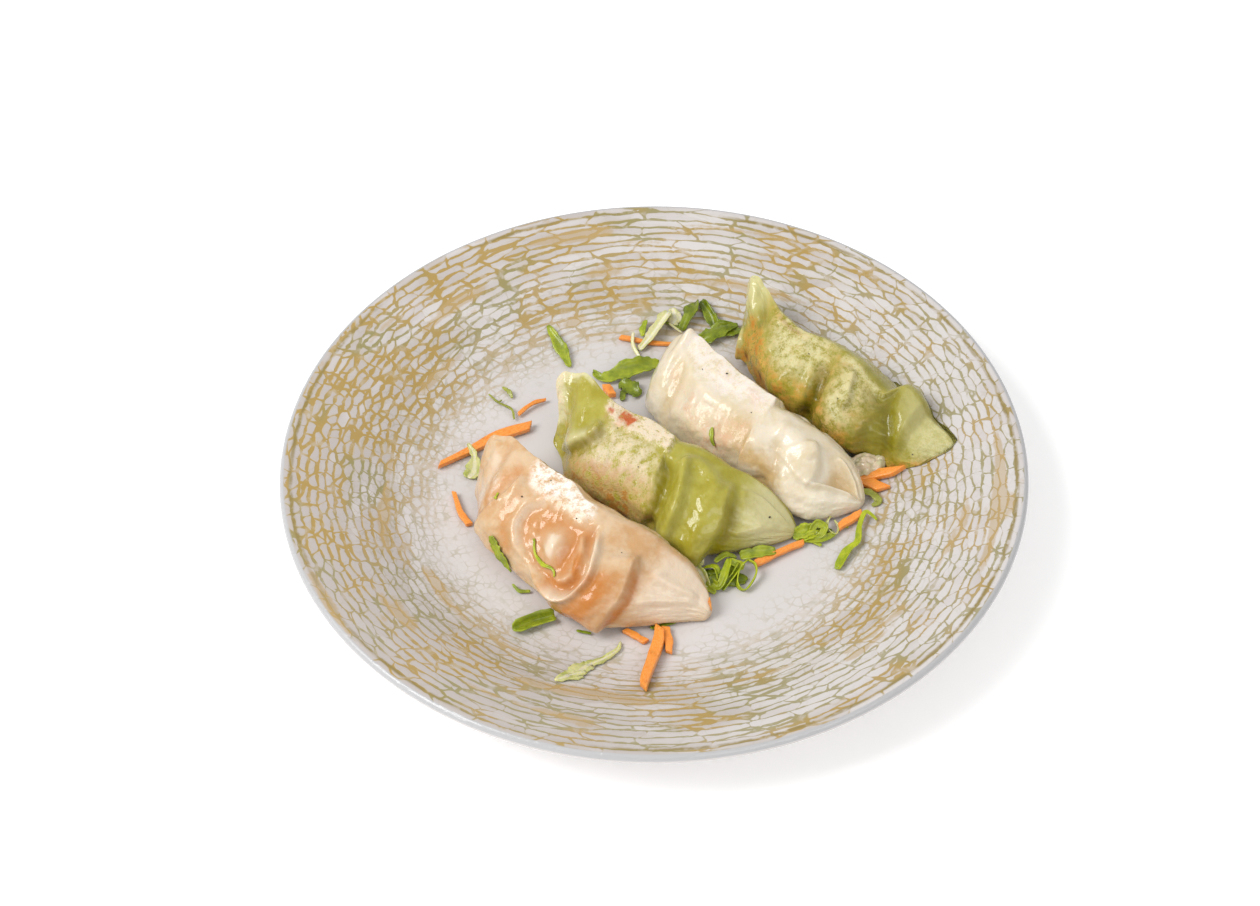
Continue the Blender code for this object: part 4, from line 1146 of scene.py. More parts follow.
def around_half(noise, strength):
    """Noise of this strength that swings about 0."""
    return times(effects, calc(effects, "SUBTRACT", noise, 0.5), strength)


where = object_place(effects)
broad = clouds(effects, where, 120.0, 3.0, 0.55)
mottle = clouds(effects, where, 420.0, 3.0, 0.6)
speckle = clouds(effects, where, 2100.0, 2.0, 0.6)
patches = plus(effects, broad, around_half(mottle, 0.5))
uneven = plus(effects, around_half(speckle, 1.2), around_half(mottle, 2.4))
crust = times(effects, given["Toast"], span(effects, uneven, -0.55, 0.45))
patchy = plus(effects, uneven, around_half(broad, 2.6))
brown = times(effects, given["Toast"], span(effects, patchy, -0.15, 0.75))
dry = times(effects, given["Flour"], span(effects, uneven, -0.55, 0.35))
burn = times(effects, given["Char"], span(effects, uneven, -0.9, 0.1))
rough_skin = calc(effects, "MAXIMUM", given["Toast"], given["Flour"])
fine_grain = plus(effects, times(effects, rough_skin, 0.5), 0.08)
bumps = times(effects, speckle, fine_grain)
bumps = plus(effects, bumps, times(effects, mottle, 0.8))
for label, value in (("Patches", patches), ("Crust", crust), ("Brown", brown), ("Dry", dry),
                     ("Burn", burn), ("Grain", bumps)):
    effects.links.new(value, out[label])
print("dough effects:", [socket.name for socket in effects.interface.items_tree])

# %% Dough finishes
# skin and skin_2 are the plain dough's two colours. deep is the darker tone of wet folds where the
# filling shows through, and also painted shade in creases, under laps and low on the belly. pale
# is thin pale dough, and also painted highlights on fold rims and painted light on the right
# wings. wet and dry are the roughness of bare dough, and of crust or flour.
Dough = namedtuple("Dough", "skin skin_2 deep pale crust brown char flour wet dry")
DOUGHS = {
    "orange": Dough(
        skin=(0.55, 0.32, 0.145), skin_2=(0.63, 0.46, 0.29), deep=(0.49, 0.165, 0.018),
        pale=(0.74, 0.62, 0.48), crust=(0.62, 0.36, 0.15), brown=(0.48, 0.20, 0.05),
        char=(0.25, 0.07, 0.02), flour=(0.86, 0.80, 0.72), wet=0.22, dry=0.45,
    ),
    "green": Dough(
        skin=(0.33, 0.285, 0.024), skin_2=(0.40, 0.360, 0.066), deep=(0.24, 0.195, 0.006),
        pale=(0.62, 0.57, 0.32), crust=(0.50, 0.36, 0.14), brown=(0.42, 0.20, 0.035),
        char=(0.48, 0.11, 0.030), flour=(0.70, 0.59, 0.43), wet=0.15, dry=0.5,
    ),
    "white": Dough(
        skin=(0.65, 0.55, 0.37), skin_2=(0.71, 0.63, 0.50), deep=(0.50, 0.33, 0.13),
        pale=(0.76, 0.69, 0.55), crust=(0.68, 0.49, 0.33), brown=(0.58, 0.34, 0.19),
        char=(0.32, 0.12, 0.05), flour=(0.76, 0.69, 0.62), wet=0.24, dry=0.5,
    ),
    "rear": Dough(
        skin=(0.27, 0.235, 0.014), skin_2=(0.36, 0.32, 0.050), deep=(0.15, 0.125, 0.003),
        pale=(0.56, 0.52, 0.24), crust=(0.58, 0.36, 0.075), brown=(0.52, 0.23, 0.030),
        char=(0.16, 0.045, 0.010), flour=(0.66, 0.62, 0.36), wet=0.20, dry=0.5,
    ),
}


def dough_finish(name, dough):
    """Translucent cooked dough, with its crust, flour and burns, and its painted shade and painted
    highlights, where the masks say.
    """
    made, tree, shader = new_finish(
        name + "_dough", Subsurface_Weight=0.2, Subsurface_Scale=2 * MM, IOR=1.33,
        Subsurface_Radius=(1.0, 0.55, 0.25), Coat_Roughness=0.05, Coat_IOR=1.4,
    )
    masks = {label: own_mask(tree, label.lower()) for label in ("Toast", "Flour", "Char")}
    shown = use_group(tree, effects, masks)
    colour = blend(tree, span(tree, shown["Patches"], 0.3, 0.7), dough.skin, dough.skin_2)
    # the deep and pale layers are partly painted shade and painted highlights
    layers = (
        (own_mask(tree, "deep"), dough.deep), (own_mask(tree, "pale"), dough.pale),
        (shown["Crust"], dough.crust), (shown["Brown"], dough.brown),
        (shown["Dry"], dough.flour), (shown["Burn"], dough.char),
    )
    for cover, layer in layers:
        colour = blend(tree, cover, colour, layer)
    tree.links.new(colour, shader.inputs["Base Color"])
    dryness = calc(tree, "MAXIMUM", shown["Dry"], shown["Crust"])
    tree.links.new(span(tree, dryness, 0, 1, dough.wet, dough.dry), shader.inputs["Roughness"])
    tree.links.new(span(tree, dryness, 0, 0.6, 0.6, 0.02), shader.inputs["Coat Weight"])
    relief(tree, shader, shown["Grain"], 0.4 * MM, 0.9)
    return made


print("doughs:", ", ".join(DOUGHS))

# %% Build the dumplings
GYOZA_RINGS = 330
GYOZA_SIDES = 200
SHADED_CREASE_DEPTH = 3.0  # millimetres of a crease's depth that would give it the full painted shade
CREASE_SHADE = 0.8  # and the most painted shade that a crease alone gives the deep mask


def gyoza(name, form, marks, node):
    """A sphere whose poles become the wings' tips. The mapping turns it inside out, so its
    faces are reversed first."""
    mesh = bmesh.new()
    bmesh.ops.create_uvsphere(mesh, u_segments=GYOZA_SIDES, v_segments=GYOZA_RINGS, radius=1)
    bmesh.ops.reverse_faces(mesh, faces=mesh.faces)
    made = piece(name, mesh, dough_finish(name, DOUGHS[name.split("_")[0]]), node)
    data = made.data
    ball = np.empty(len(data.vertices) * 3)
    data.vertices.foreach_get("co", ball)
    ball = ball.reshape(-1, 3)
    along = (1 - ball[:, 2]) / 2
    around = np.arctan2(ball[:, 1], ball[:, 0]) % (2 * pi)
    x, y, z, folds = gyoza_skin(form, along, around)
    data.vertices.foreach_set("co", np.stack([x, y, z], -1).ravel())
    masks = {finish: np.zeros(len(along)) for finish in FINISHES}
    for number, mark in enumerate(marks):
        seed = 7 * number + form.lump_seed
        shade = mark_mask(form, mark, along * form.length, around * GIRTH, seed)
        masks[mark.finish] = np.maximum(masks[mark.finish], shade)
    # Painted shade: a crease darkens the deep mask more the further it sinks.
    painted_crease_shade = np.clip(-folds / SHADED_CREASE_DEPTH, 0, CREASE_SHADE)
    masks["deep"] = np.maximum(masks["deep"], painted_crease_shade)
    masks["deep"] *= 1 - masks["flour"]
    for finish, mask in masks.items():
        data.attributes.new(finish, "FLOAT", "POINT").data.foreach_set("value", mask)
    data.update()
    return made


for name, form, slot in (
    ("orange", ORANGE, "dough_orange"), ("green", GREEN, "dough_green"),
    ("white", WHITE, "dough_white"), ("rear", REAR, "dough_dark_green"),
):
    made = gyoza(name + "_gyoza", form, MARKS[name], "gyoza_" + name)
    print(made.name, "spans", [round(size / MM, 1) for size in made.dimensions], "mm")

# %% [markdown]
# ## Shredded leaves
#
# The green bits are thin cut leaves: flat or rolled, some with a pale rib. A shred could be a
# curve with a flat bevel, but it would stay equally wide and never cup. Instead a grid is laid
# along a smooth path, and its side direction is carried from point to point so that it may
# loop over itself. Solidify gives it a leaf's thickness.

# %% A shred along a path
LEAF_THICKNESS = 0.3 * MM
ON_PLATE = 0.35 * MM  # height of a shred's middle layer above the glaze
LEAF_STEPS = 7  # steps between two points of a path
LEAF_COLUMNS = 6
TEARS = 9  # about how often the edge goes in and out along a shred
FINE_TEARS = 19
END_WIDTH = 0.65  # share of the full width that is left at the two ends
CUP_LEVEL = 0.3  # share that keeps a cupped shred's height as it was
WAVES = 11


def over_plate(point):
    """A place in metres from (x, y, how far it is lifted off the plate) in millimetres."""
    x, y, lift = point
    ground = plate_height(np.hypot(x, y) * MM)
    return Vector((x * MM, y * MM, float(ground) + ON_PLATE + lift * MM))


def own_layers(mesh):
    """The two masks of a shred: the share along it, and across from -1 to 1."""
    names = mesh.verts.layers.float
    return tuple(names.get(name) or names.new(name) for name in ("way", "across"))


def along_path(path, lengths):
    """Places, headings, sides and normals of a smooth path at even steps."""
    shares = np.linspace(0, 1, lengths + 1)
    spots = [Vector(p) for p in through([tuple(over_plate(p)) for p in path], shares)]
    before, after = [spots[0], *spots[:-1]], [*spots[1:], spots[-1]]
    headings = [(b - a).normalized() for a, b in zip(before, after)]
    side = Vector((-headings[0].y, headings[0].x, 0)).normalized()
    frames = []
    for spot, heading in zip(spots, headings):
        side = (side - heading * side.dot(heading)).normalized()
        frames.append((spot, heading, side, heading.cross(side)))
    return frames


def shred(mesh, path, widths, roll=0, turn_over=0, cup=0.0, wave=0.0, ragged=0.22, seed=1):
    """A ribbon of leaf. roll and turn_over are degrees about its own line; cup is how far its
    edges rise, as a share of its half width, and wave the same in millimetres."""
    lengths = max(10, LEAF_STEPS * (len(path) - 1))
    frames = along_path(path, lengths)
    way_layer, side_layer = own_layers(mesh)
    made = bmesh.ops.create_grid(mesh, x_segments=lengths, y_segments=LEAF_COLUMNS, size=1)["verts"]
    spread = np.interp(np.linspace(0, 1, lengths + 1), np.linspace(0, 1, len(widths)), widths)
    for vert in made:
        share = (vert.co.x + 1) / 2
        across = vert.co.y
        step = round(share * lengths)
        spot, _, side, normal = frames[step]
        # the edge is torn in two sizes, and the ends are a little narrower
        torn = 1 + ragged * noise.noise(Vector((share * TEARS, across * 1.5, seed)))
        torn += 0.5 * ragged * noise.noise(Vector((share * FINE_TEARS, across * 1.5, seed + 4)))
        torn *= min(1.0, END_WIDTH + 5 * min(share, 1 - share))
        angle = radians(roll + turn_over * share)
        half = spread[step] / 2 * MM * torn
        level = side * cos(angle) + normal * sin(angle)
        rise = normal * cos(angle) - side * sin(angle)
        bend = cup * (across**2 - CUP_LEVEL) * half
        bend += wave * MM * across**2 * sin(share * WAVES + seed + (2.0 if across > 0 else 0.0))
        vert.co = spot + level * across * half + rise * bend
        ground = float(plate_height(vert.co.xy.length)) + ON_PLATE
        vert.co.z = max(vert.co.z, ground)
        vert[way_layer] = share
        vert[side_layer] = across


print("a shred is", LEAF_THICKNESS / MM, "mm thick")

# %% [markdown]
# Leaf colour runs from lime, where the blade is thin and young, to dark green. Fine veins cross
# the blade, so the material reads the shred's own length and width, which the mesh carries.

# %% Leaf finishes


def leaf_finish(name, young, dark, rib=None):
    """A cut leaf: young and dark green in patches, fine veins, and a pale rib if it has one."""
    made, tree, shader = new_finish(
        name, Subsurface_Weight=0.3, Subsurface_Scale=1.2 * MM, IOR=1.35,
        Subsurface_Radius=(0.7, 1.0, 0.1), Coat_Roughness=0.12, Coat_Weight=0.2, Roughness=0.34,
    )
    where = object_place(tree)
    way, across = own_mask(tree, "way"), own_mask(tree, "across")
    patch = clouds(tree, where, 260.0, 2.0, 0.6)
    fine = clouds(tree, where, 1300.0, 2.0, 0.6)
    colour = blend(tree, span(tree, patch, 0.36, 0.64), dark, young)
    from_rib = times(tree, calc(tree, "ABSOLUTE", across), 9.0)
    slant = plus(tree, times(tree, way, 60.0), from_rib)
    slant = plus(tree, slant, times(tree, patch, 7.0))
    vein = span(tree, calc(tree, "SINE", slant), 0.55, 1.0)
    vein = times(tree, vein, span(tree, fine, 0.35, 0.65, 0.0, 0.25))
    colour = blend(tree, vein, colour, tuple(min(1, v * 1.25 + 0.02) for v in young))
    if rib:
        off = plus(tree, calc(tree, "ABSOLUTE", across), times(tree, patch, 0.3))
        ribbed = span(tree, off, 0.30, 0.62, 1.0, 0.0)
        colour = blend(tree, ribbed, colour, rib)
    colour = blend(tree, span(tree, fine, 0.4, 0.8, 0.0, 0.25), colour, tuple(v * 0.7 for v in dark))
    tree.links.new(colour, shader.inputs["Base Color"])
    height = plus(tree, times(tree, vein, 0.4), times(tree, patch, 2.0))
    relief(tree, shader, height, 0.10 * MM, 0.6)
    return made


LIME = (0.42, 0.47, 0.020)
FRESH = (0.34, 0.385, 0.026)
DEEP_GREEN = (0.105, 0.140, 0.005)
OLIVE = (0.33, 0.34, 0.060)
PALE_GREEN = (0.56, 0.54, 0.24)
RIB = (0.66, 0.62, 0.40)

fresh_leaf = leaf_finish("fresh_leaf", FRESH, (0.20, 0.245, 0.016))
dark_leaf = leaf_finish("dark_leaf", (0.22, 0.27, 0.012), DEEP_GREEN)
lime_leaf = leaf_finish("lime_leaf", LIME, (0.25, 0.31, 0.012))
olive_leaf = leaf_finish("olive_leaf", OLIVE, (0.22, 0.23, 0.03))
pale_leaf = leaf_finish("pale_leaf", PALE_GREEN, (0.38, 0.40, 0.10), RIB)
rib_leaf = leaf_finish("rib_leaf", RIB, PALE_GREEN, (0.74, 0.72, 0.52))
print("leaf finishes:", len([m for m in bpy.data.materials if m.name.endswith("leaf")]))

# %% Lay the shreds
# Each row: the shred's own name, the solid that it stands for, its finish, and its ribbons.
# A ribbon is a path of (x, y, lift) and widths along it, in millimetres, and its turns.


def ribbon(path, widths, **shape):
    """One row of the tables below."""
    return path, widths, shape


LEAVES = [
    ("lime_curl", "leaf_13", lime_leaf, [
        ribbon([(63, -14, 0.5), (60, -12, 2.5), (58, -16, 1.5), (57, -22, 1.5), (54, -25, 1),
                (51, -31, 0.5)],
               [1.0, 1.4, 1.5, 2.0, 2.8, 3.2], roll=12, turn_over=12, cup=0.5),
    ]),
    ("small_leaf_tip", "leaf_8", pale_leaf, [
        ribbon([(-54, 16, 2), (-52, 12, 1.5), (-52, 7, 0.5), (-53, 4, 0.5)],
               [1.0, 2.0, 5.0, 4.5], roll=12, cup=0.3, ragged=0.5),
        ribbon([(-47, 11, 1), (-49, 8, 0.5)], [1.0, 0.8], roll=20),
    ]),
    ("fine_twig", "leaf_9", olive_leaf, [
        ribbon([(-49, 37, 0.5), (-46, 34, 0.5), (-42, 31, 1), (-41, 27, 1)],
               [0.5, 0.6, 0.6, 0.7], ragged=0.5),
        ribbon([(-45, 40, 0.5), (-43, 38, 1), (-42, 36, 0.5)],
               [0.7, 1.3, 0.8], roll=25, ragged=0.5),
        ribbon([(-46, 34, 0.5), (-45, 35, 0.5)], [0.4, 0.3]),
    ]),
    ("loose_leaf", "leaf_1", fresh_leaf, [
        ribbon([(-32, 63, 0.5), (-28, 56, 1), (-25, 49, 0.5)],
               [1.5, 3.8, 1.4], roll=22, turn_over=-10, cup=0.35, wave=0.25),
    ]),
    ("ribbed_leaf", "leaf_2", rib_leaf, [
        ribbon([(5, 68, 2.5), (0, 61, 2), (-4, 56, 0.5)],
               [5.0, 3.6, 2.0], roll=30, turn_over=-20, cup=0.4, ragged=0.35),
        ribbon([(-6, 62, 1.5), (-6, 57, 1.5), (-4, 53, 0.5)], [1.0, 1.2, 1.0], roll=30),
        ribbon([(5, 65, 1.5), (9, 62, 1)], [1.0, 0.8], roll=-20),
        ribbon([(6, 70, 1), (7, 67, 1), (6, 65, 1)],
               [2.5, 4.4, 3.0], roll=10, wave=0.4, ragged=0.4),
    ]),
    ("bright_leaf_bit", None, lime_leaf, [
        ribbon([(-2, 66, 1.5), (-3, 63, 1.5), (-3, 61, 1)], [1.4, 2.4, 1.2], roll=30, cup=0.3),
    ]),
    ("tall_leaf", "leaf_3", dark_leaf, [
        ribbon([(13, 72, 0.5), (12, 68, 2.5), (9, 63, 1)],
               [3.0, 5.0, 2.2], roll=34, turn_over=-16, cup=0.5, wave=0.3),
        ribbon([(4, 66, 0.5), (10, 63, 1)], [0.8, 1.2], roll=10),
    ]),
    ("hooked_leaf", "leaf_4", dark_leaf, [
        ribbon([(15, 72, 1), (18, 66, 1.5), (20, 61, 0.5)],
               [2.4, 3.5, 2.0], roll=28, cup=0.6, wave=0.3),
    ]),
    ("forked_leaf", "leaf_5", dark_leaf, [
        ribbon([(14, 59, 0.5), (18, 60, 2), (22, 62, 2), (26, 63, 1.5)],
               [3.0, 5.0, 4.0, 1.6], roll=24, cup=0.5, wave=0.5, ragged=0.4),
        ribbon([(21, 61, 1.5), (24, 61, 1.5), (27, 61, 1.5)], [2.0, 3.2, 1.6], roll=20, cup=0.3),
    ]),
    ("broad_leaf", "leaf_6", fresh_leaf, [
        ribbon([(-18, 47, 0.5), (-15, 44, 1), (-8, 46, 2), (-2, 48, 2.5), (2, 49, 2)],
               [1.0, 3.2, 5.5, 5.0, 3.0], roll=20, turn_over=16, cup=0.5, wave=0.6, ragged=0.35),
    ]),
    ("shaded_leaf", "leaf_7", dark_leaf, [
        ribbon([(-10, 42, 1), (-7, 40, 1), (-4, 37, 0.5)],
               [3.0, 4.4, 3.0], roll=14, cup=0.3, wave=0.6, ragged=0.5),
        ribbon([(-9, 39, 0.5), (-9, 35, 0.5)], [1.8, 1.6], roll=20),
    ]),
    ("thin_shred", "leaf_10", fresh_leaf, [
        ribbon([(-39, -36, 1), (-37, -38, 0.5), (-34, -38, 0.5)], [0.7, 1.0, 0.8], roll=20),
    ]),
    ("rolled_shred", "leaf_11", fresh_leaf, [
        ribbon([(-38, -53, 1), (-32, -49, 1), (-27, -47, 1)],
               [3.4, 3.7, 3.4], roll=24, cup=1.3, wave=0.1, ragged=0.08),
    ]),
    ("pale_shred", "leaf_12", pale_leaf, [
        ribbon([(-26, -74, 0.5), (-21, -70, 0.5), (-17, -65, 0.5)],
               [1.0, 4.4, 3.0], roll=5, ragged=0.45, wave=0.3),
        ribbon([(-18, -66, 0.5), (-14, -63, 0.5), (-10, -59, 0.5), (-9, -56, 0.5)],
               [2.6, 1.8, 1.2, 0.6], roll=8, ragged=0.4, wave=0.3),
        ribbon([(-24, -72, 0.5), (-18, -69, 0.5)], [0.8, 1.6], ragged=0.6),
    ]),
    ("side_shred", "leaf_14", olive_leaf, [
        ribbon([(59, -3, 1.5), (62, -4, 1.5), (64, -7, 0.5), (62, -8, 0.5)],
               [1.6, 2.2, 1.8, 1.0], roll=12, wave=0.3),
    ]),
    ("dark_sliver", None, dark_leaf, [
        ribbon([(-1, -51, 0.5), (6, -49, 0.5)], [1.0, 1.0]),
        ribbon([(-21, -52, 0.5), (-17, -53, 0.5)], [0.7, 0.7]),
    ]),
]


def lay_leaf(name, node, finish, ribbons):
    """One piece of leaf from its ribbons."""
    mesh = bmesh.new()
    for number, (path, widths, shape) in enumerate(ribbons):
        shred(mesh, path, widths, seed=1 + number + len(path), **shape)
    thicken(piece(name, mesh, finish, node), LEAF_THICKNESS)


for name, node, finish, ribbons in LEAVES:
    lay_leaf(name, node, finish, ribbons)
print(len(LEAVES), "leaves laid")

# %% [markdown]
# Two tangles of shreds lie against the dumplings. Each is a low dark core, so nothing shows
# through, with curled shreds over it that stand up in loops. The core's dark green is painted
# shade for the gaps between the curls.

# %% Tangles of shreds
Heap = namedtuple("Heap", "place reach height turn")
HEAP_LUMPS = 0.22  # share of its reach by which a heap's outline goes in and out
HEAP_FOLDS = 0.6  # share of its height that its deepest folds take away
HEAP_BASE = 0.05  # share of its height that the underside curves up
HEAPS = {
    "leaf_heap_1": Heap((18.5, -33.5), (7.0, 2.8), 2.2, -6),
    "leaf_heap_2": Heap((45.8, -17.6), (4.4, 2.0), 1.8, 12),
}


def heap_core(form, finish, name, node):
    """A low lumpy mound, flat below."""
    mesh = bmesh.new()
    bmesh.ops.create_uvsphere(mesh, u_segments=40, v_segments=24, radius=1)
    for vert in mesh.verts:
        lump = 1 + HEAP_LUMPS * noise.noise(vert.co * 2.2)
        x, y = vert.co.x * form.reach[0] * lump, vert.co.y * form.reach[1] * lump
        place = set_down(form.place, form.turn, x, y)
        folds = 1 - HEAP_FOLDS * abs(noise.noise(vert.co * 5))
        rise = form.height * (max(vert.co.z, 0) * folds + HEAP_BASE * (1 + min(vert.co.z, 0)))
        vert.co = over_plate((*place, rise))
    for label in ("way", "across"):
        layer = mesh.verts.layers.float.new(label)
        for vert in mesh.verts:
            vert[layer] = noise.noise(vert.co * 300)
    bmesh.ops.recalc_face_normals(mesh, faces=mesh.faces)
    return piece(name, mesh, finish, node)


# the cores' dark green is painted shade between the curls
for name, node in (("front_tangle_core", "leaf_heap_1"), ("side_tangle_core", "leaf_heap_2")):
    heap_core(HEAPS[node], dark_leaf, name, node)

TANGLES = [
    ("front_tangle_rib", pale_leaf, [
        ribbon([(8, -30, 2), (11, -29, 3), (14, -29, 2.5)], [2.2, 3.4, 2.8], roll=35, cup=0.4),
        ribbon([(11, -30, 2), (13, -33, 2), (15, -37, 1)], [2.0, 2.8, 1.8], roll=24, cup=0.6),
    ]),
    ("front_tangle_curls", lime_leaf, [
        ribbon([(15, -34, 1), (18, -37, 1), (20, -33, 3), (21, -29, 3.5)],
               [1.6, 2.4, 2.2, 1.6], roll=30, cup=0.6),
        ribbon([(21, -30, 3.5), (25, -31, 2)], [2.0, 2.2], roll=20, cup=0.5),
        ribbon([(26, -30, 4), (24, -32, 3), (23, -36, 1.5), (25, -38, 0.5), (28, -34, 2),
                (28, -31, 3), (26, -30, 4)],
               [1.8, 2.1, 2.2, 2.0, 2.0, 1.8, 1.6], roll=60, cup=0.3),
        ribbon([(19, -38, 0.5), (22, -34, 2), (25, -30, 3)], [1.4, 2.2, 1.6], roll=-30, cup=0.6),
        ribbon([(14, -31, 2), (17, -32, 3), (18, -35, 1.5)], [1.4, 2.2, 1.6], roll=-25, cup=0.5),
    ]),
    ("front_tangle_shade", fresh_leaf, [
        ribbon([(23, -30, 3), (21, -33, 2), (19, -35, 1)], [2.0, 2.4, 1.6], roll=20, cup=0.5),
        ribbon([(24, -27, 2), (29, -26, 2.5), (34, -25, 2)],
               [2.6, 3.2, 2.4], roll=24, cup=0.5, wave=0.3),
        ribbon([(16, -32, 1.5), (14, -36, 1), (17, -39, 0.5)], [1.4, 2.0, 1.2], roll=15, cup=0.5),
        ribbon([(17, -30, 3), (20, -28, 3.5), (23, -28, 2.5)], [1.8, 2.6, 1.6], roll=-20, cup=0.6),
    ]),
    ("side_tangle_block", lime_leaf, [
        ribbon([(39, -19, 1), (42, -18, 2), (45, -17, 2)], [2.8, 4.0, 3.0], roll=35, cup=0.5),
        ribbon([(41, -20, 0.5), (44, -19, 1.5), (47, -18, 1)], [1.4, 2.4, 1.6], roll=20, cup=0.6),
        ribbon([(52, -15, 1), (55, -15, 0.5)], [1.4, 1.4], roll=20),
    ]),
    ("side_tangle_swirl", fresh_leaf, [
        ribbon([(44, -18, 2), (46, -16, 3), (48, -17, 2.5), (47, -19, 1.5), (45, -19, 0.5)],
               [1.6, 2.2, 2.2, 1.8, 1.2], roll=40, cup=0.5),
        ribbon([(44, -20, 0.5), (47, -22, 0.5)], [1.2, 1.0]),
        ribbon([(41, -20, 0.5), (47, -20, 1), (51, -18, 1)], [1.4, 2.0, 1.4], roll=20, cup=0.5),
    ]),
    ("side_tangle_ring", pale_leaf, [
        ribbon([(50, -13, 2.5), (49, -15, 2.5), (49, -17, 1.5), (51, -18, 0.5), (52, -16, 1),
                (51, -14, 2)],
               [1.4, 1.6, 1.8, 1.6, 1.4, 1.2], roll=60, cup=0.3),
    ]),
]
for name, finish, ribbons in TANGLES:
    lay_leaf(name, None, finish, ribbons)
print(len(TANGLES), "tangles of shreds")

# %% [markdown]
# ## Carrot
#
# Julienne carrot is cut with a blade, so a shred has flat sides, crisp but wet edges and ends
# cut at a slant. A cube is bevelled, cut into lengths and bent along its path.

# %% Carrot finish
CARROT = (0.78, 0.215, 0.012)
CARROT_LIGHT = (0.84, 0.38, 0.09)
CARROT_DARK = (0.50, 0.13, 0.010)

carrot, tree, shader = new_finish(
    "carrot", Subsurface_Weight=0.25, Subsurface_Scale=1.5 * MM, IOR=1.4,
    Subsurface_Radius=(1.0, 0.35, 0.1), Coat_Weight=0.4, Coat_Roughness=0.12, Roughness=0.3,
)
where = object_place(tree)
way, across = own_mask(tree, "way"), own_mask(tree, "across")
along_grain = combined(tree, times(tree, way, 1.6), times(tree, across, 7.0), 0.0)
fibres = clouds(tree, along_grain, 2.2, 3.0, 0.6)
patch = clouds(tree, where, 300.0, 2.0, 0.6)
colour = blend(tree, span(tree, fibres, 0.35, 0.68), CARROT, CARROT_LIGHT)
colour = blend(tree, span(tree, patch, 0.52, 0.8, 0.0, 0.6), colour, CARROT_DARK)
tree.links.new(colour, shader.inputs["Base Color"])
relief(tree, shader, plus(tree, fibres, times(tree, patch, 0.5)), 0.10 * MM, 0.4)
print("carrot finish:", len(tree.nodes), "nodes")

# %% Cut the shreds
# A path and widths as the leaves have them, the thickness in millimetres, the roll in degrees,
# and how far the cut ends slant.
Cut = namedtuple("Cut", "path widths thick roll slant", defaults=(0, 0.4))
CARROT_STEPS = 8  # steps between two points of a path
EDGE_ROUNDING = 0.12  # as a share of the width
UNEVEN_CUT = 0.35  # share of the width by which the knife strays
FIBRE_LENGTHS = 8  # how often the grain's pattern repeats along a shred
CARROTS = [
    Cut([(-62, 8, 0), (-54, 14, 0), (-45, 20, 0.5), (-36, 24, 0.5)], [1.4, 2.0, 3.4, 2.6], 1.7, 6, 0.8),
    Cut([(-40, 29, 0.5), (-36, 33, 1), (-32, 35, 0.5)], [1.2, 1.2, 0.9], 0.9, 20),
    Cut([(-57, -2, 0), (-55, -9, 0), (-52, -14, 0)], [1.3, 1.8, 1.8], 1.4),
    Cut([(2, -52, 0.5), (0, -61, 0.5), (-3, -76, 0)], [3.0, 3.2, 2.3], 1.8, 6, 0.8),
    Cut([(-8, -52, 0), (-5, -54, 0), (-2, -56, 0)], [1.7, 1.8, 1.5], 1.2),
    Cut([(3, -51, 0), (4, -56, 0), (4, -60, 0)], [2.2, 2.2, 1.8], 1.3),
    Cut([(28, -29, 0.5), (35, -25, 0.5), (42, -21, 0)], [2.0, 1.9, 1.6], 1.4, 8),
    Cut([(52, -16, 0.5), (56, -13, 0.5), (59, -11, 0.5)], [2.2, 2.4, 2.0], 1.5),
    Cut([(58, 3, 0.5), (63, 3, 0.5), (71, 2, 0.5)], [4.0, 3.6, 2.0], 1.8, 4, 1.0),
    Cut([(58, 2, 0.5), (62, 0, 0.5), (66, -3, 0)], [3.0, 3.6, 3.0], 1.5, 0, 0.8),
    Cut([(-14, 40, 0.5), (-13, 38, 0.5), (-12, 36, 0.5)], [2.2, 2.6, 2.0], 2.0),
    Cut([(-10, 61, 0), (-1, 59, 0), (9, 58, 0)], [1.5, 1.3, 1.0], 1.0),
]


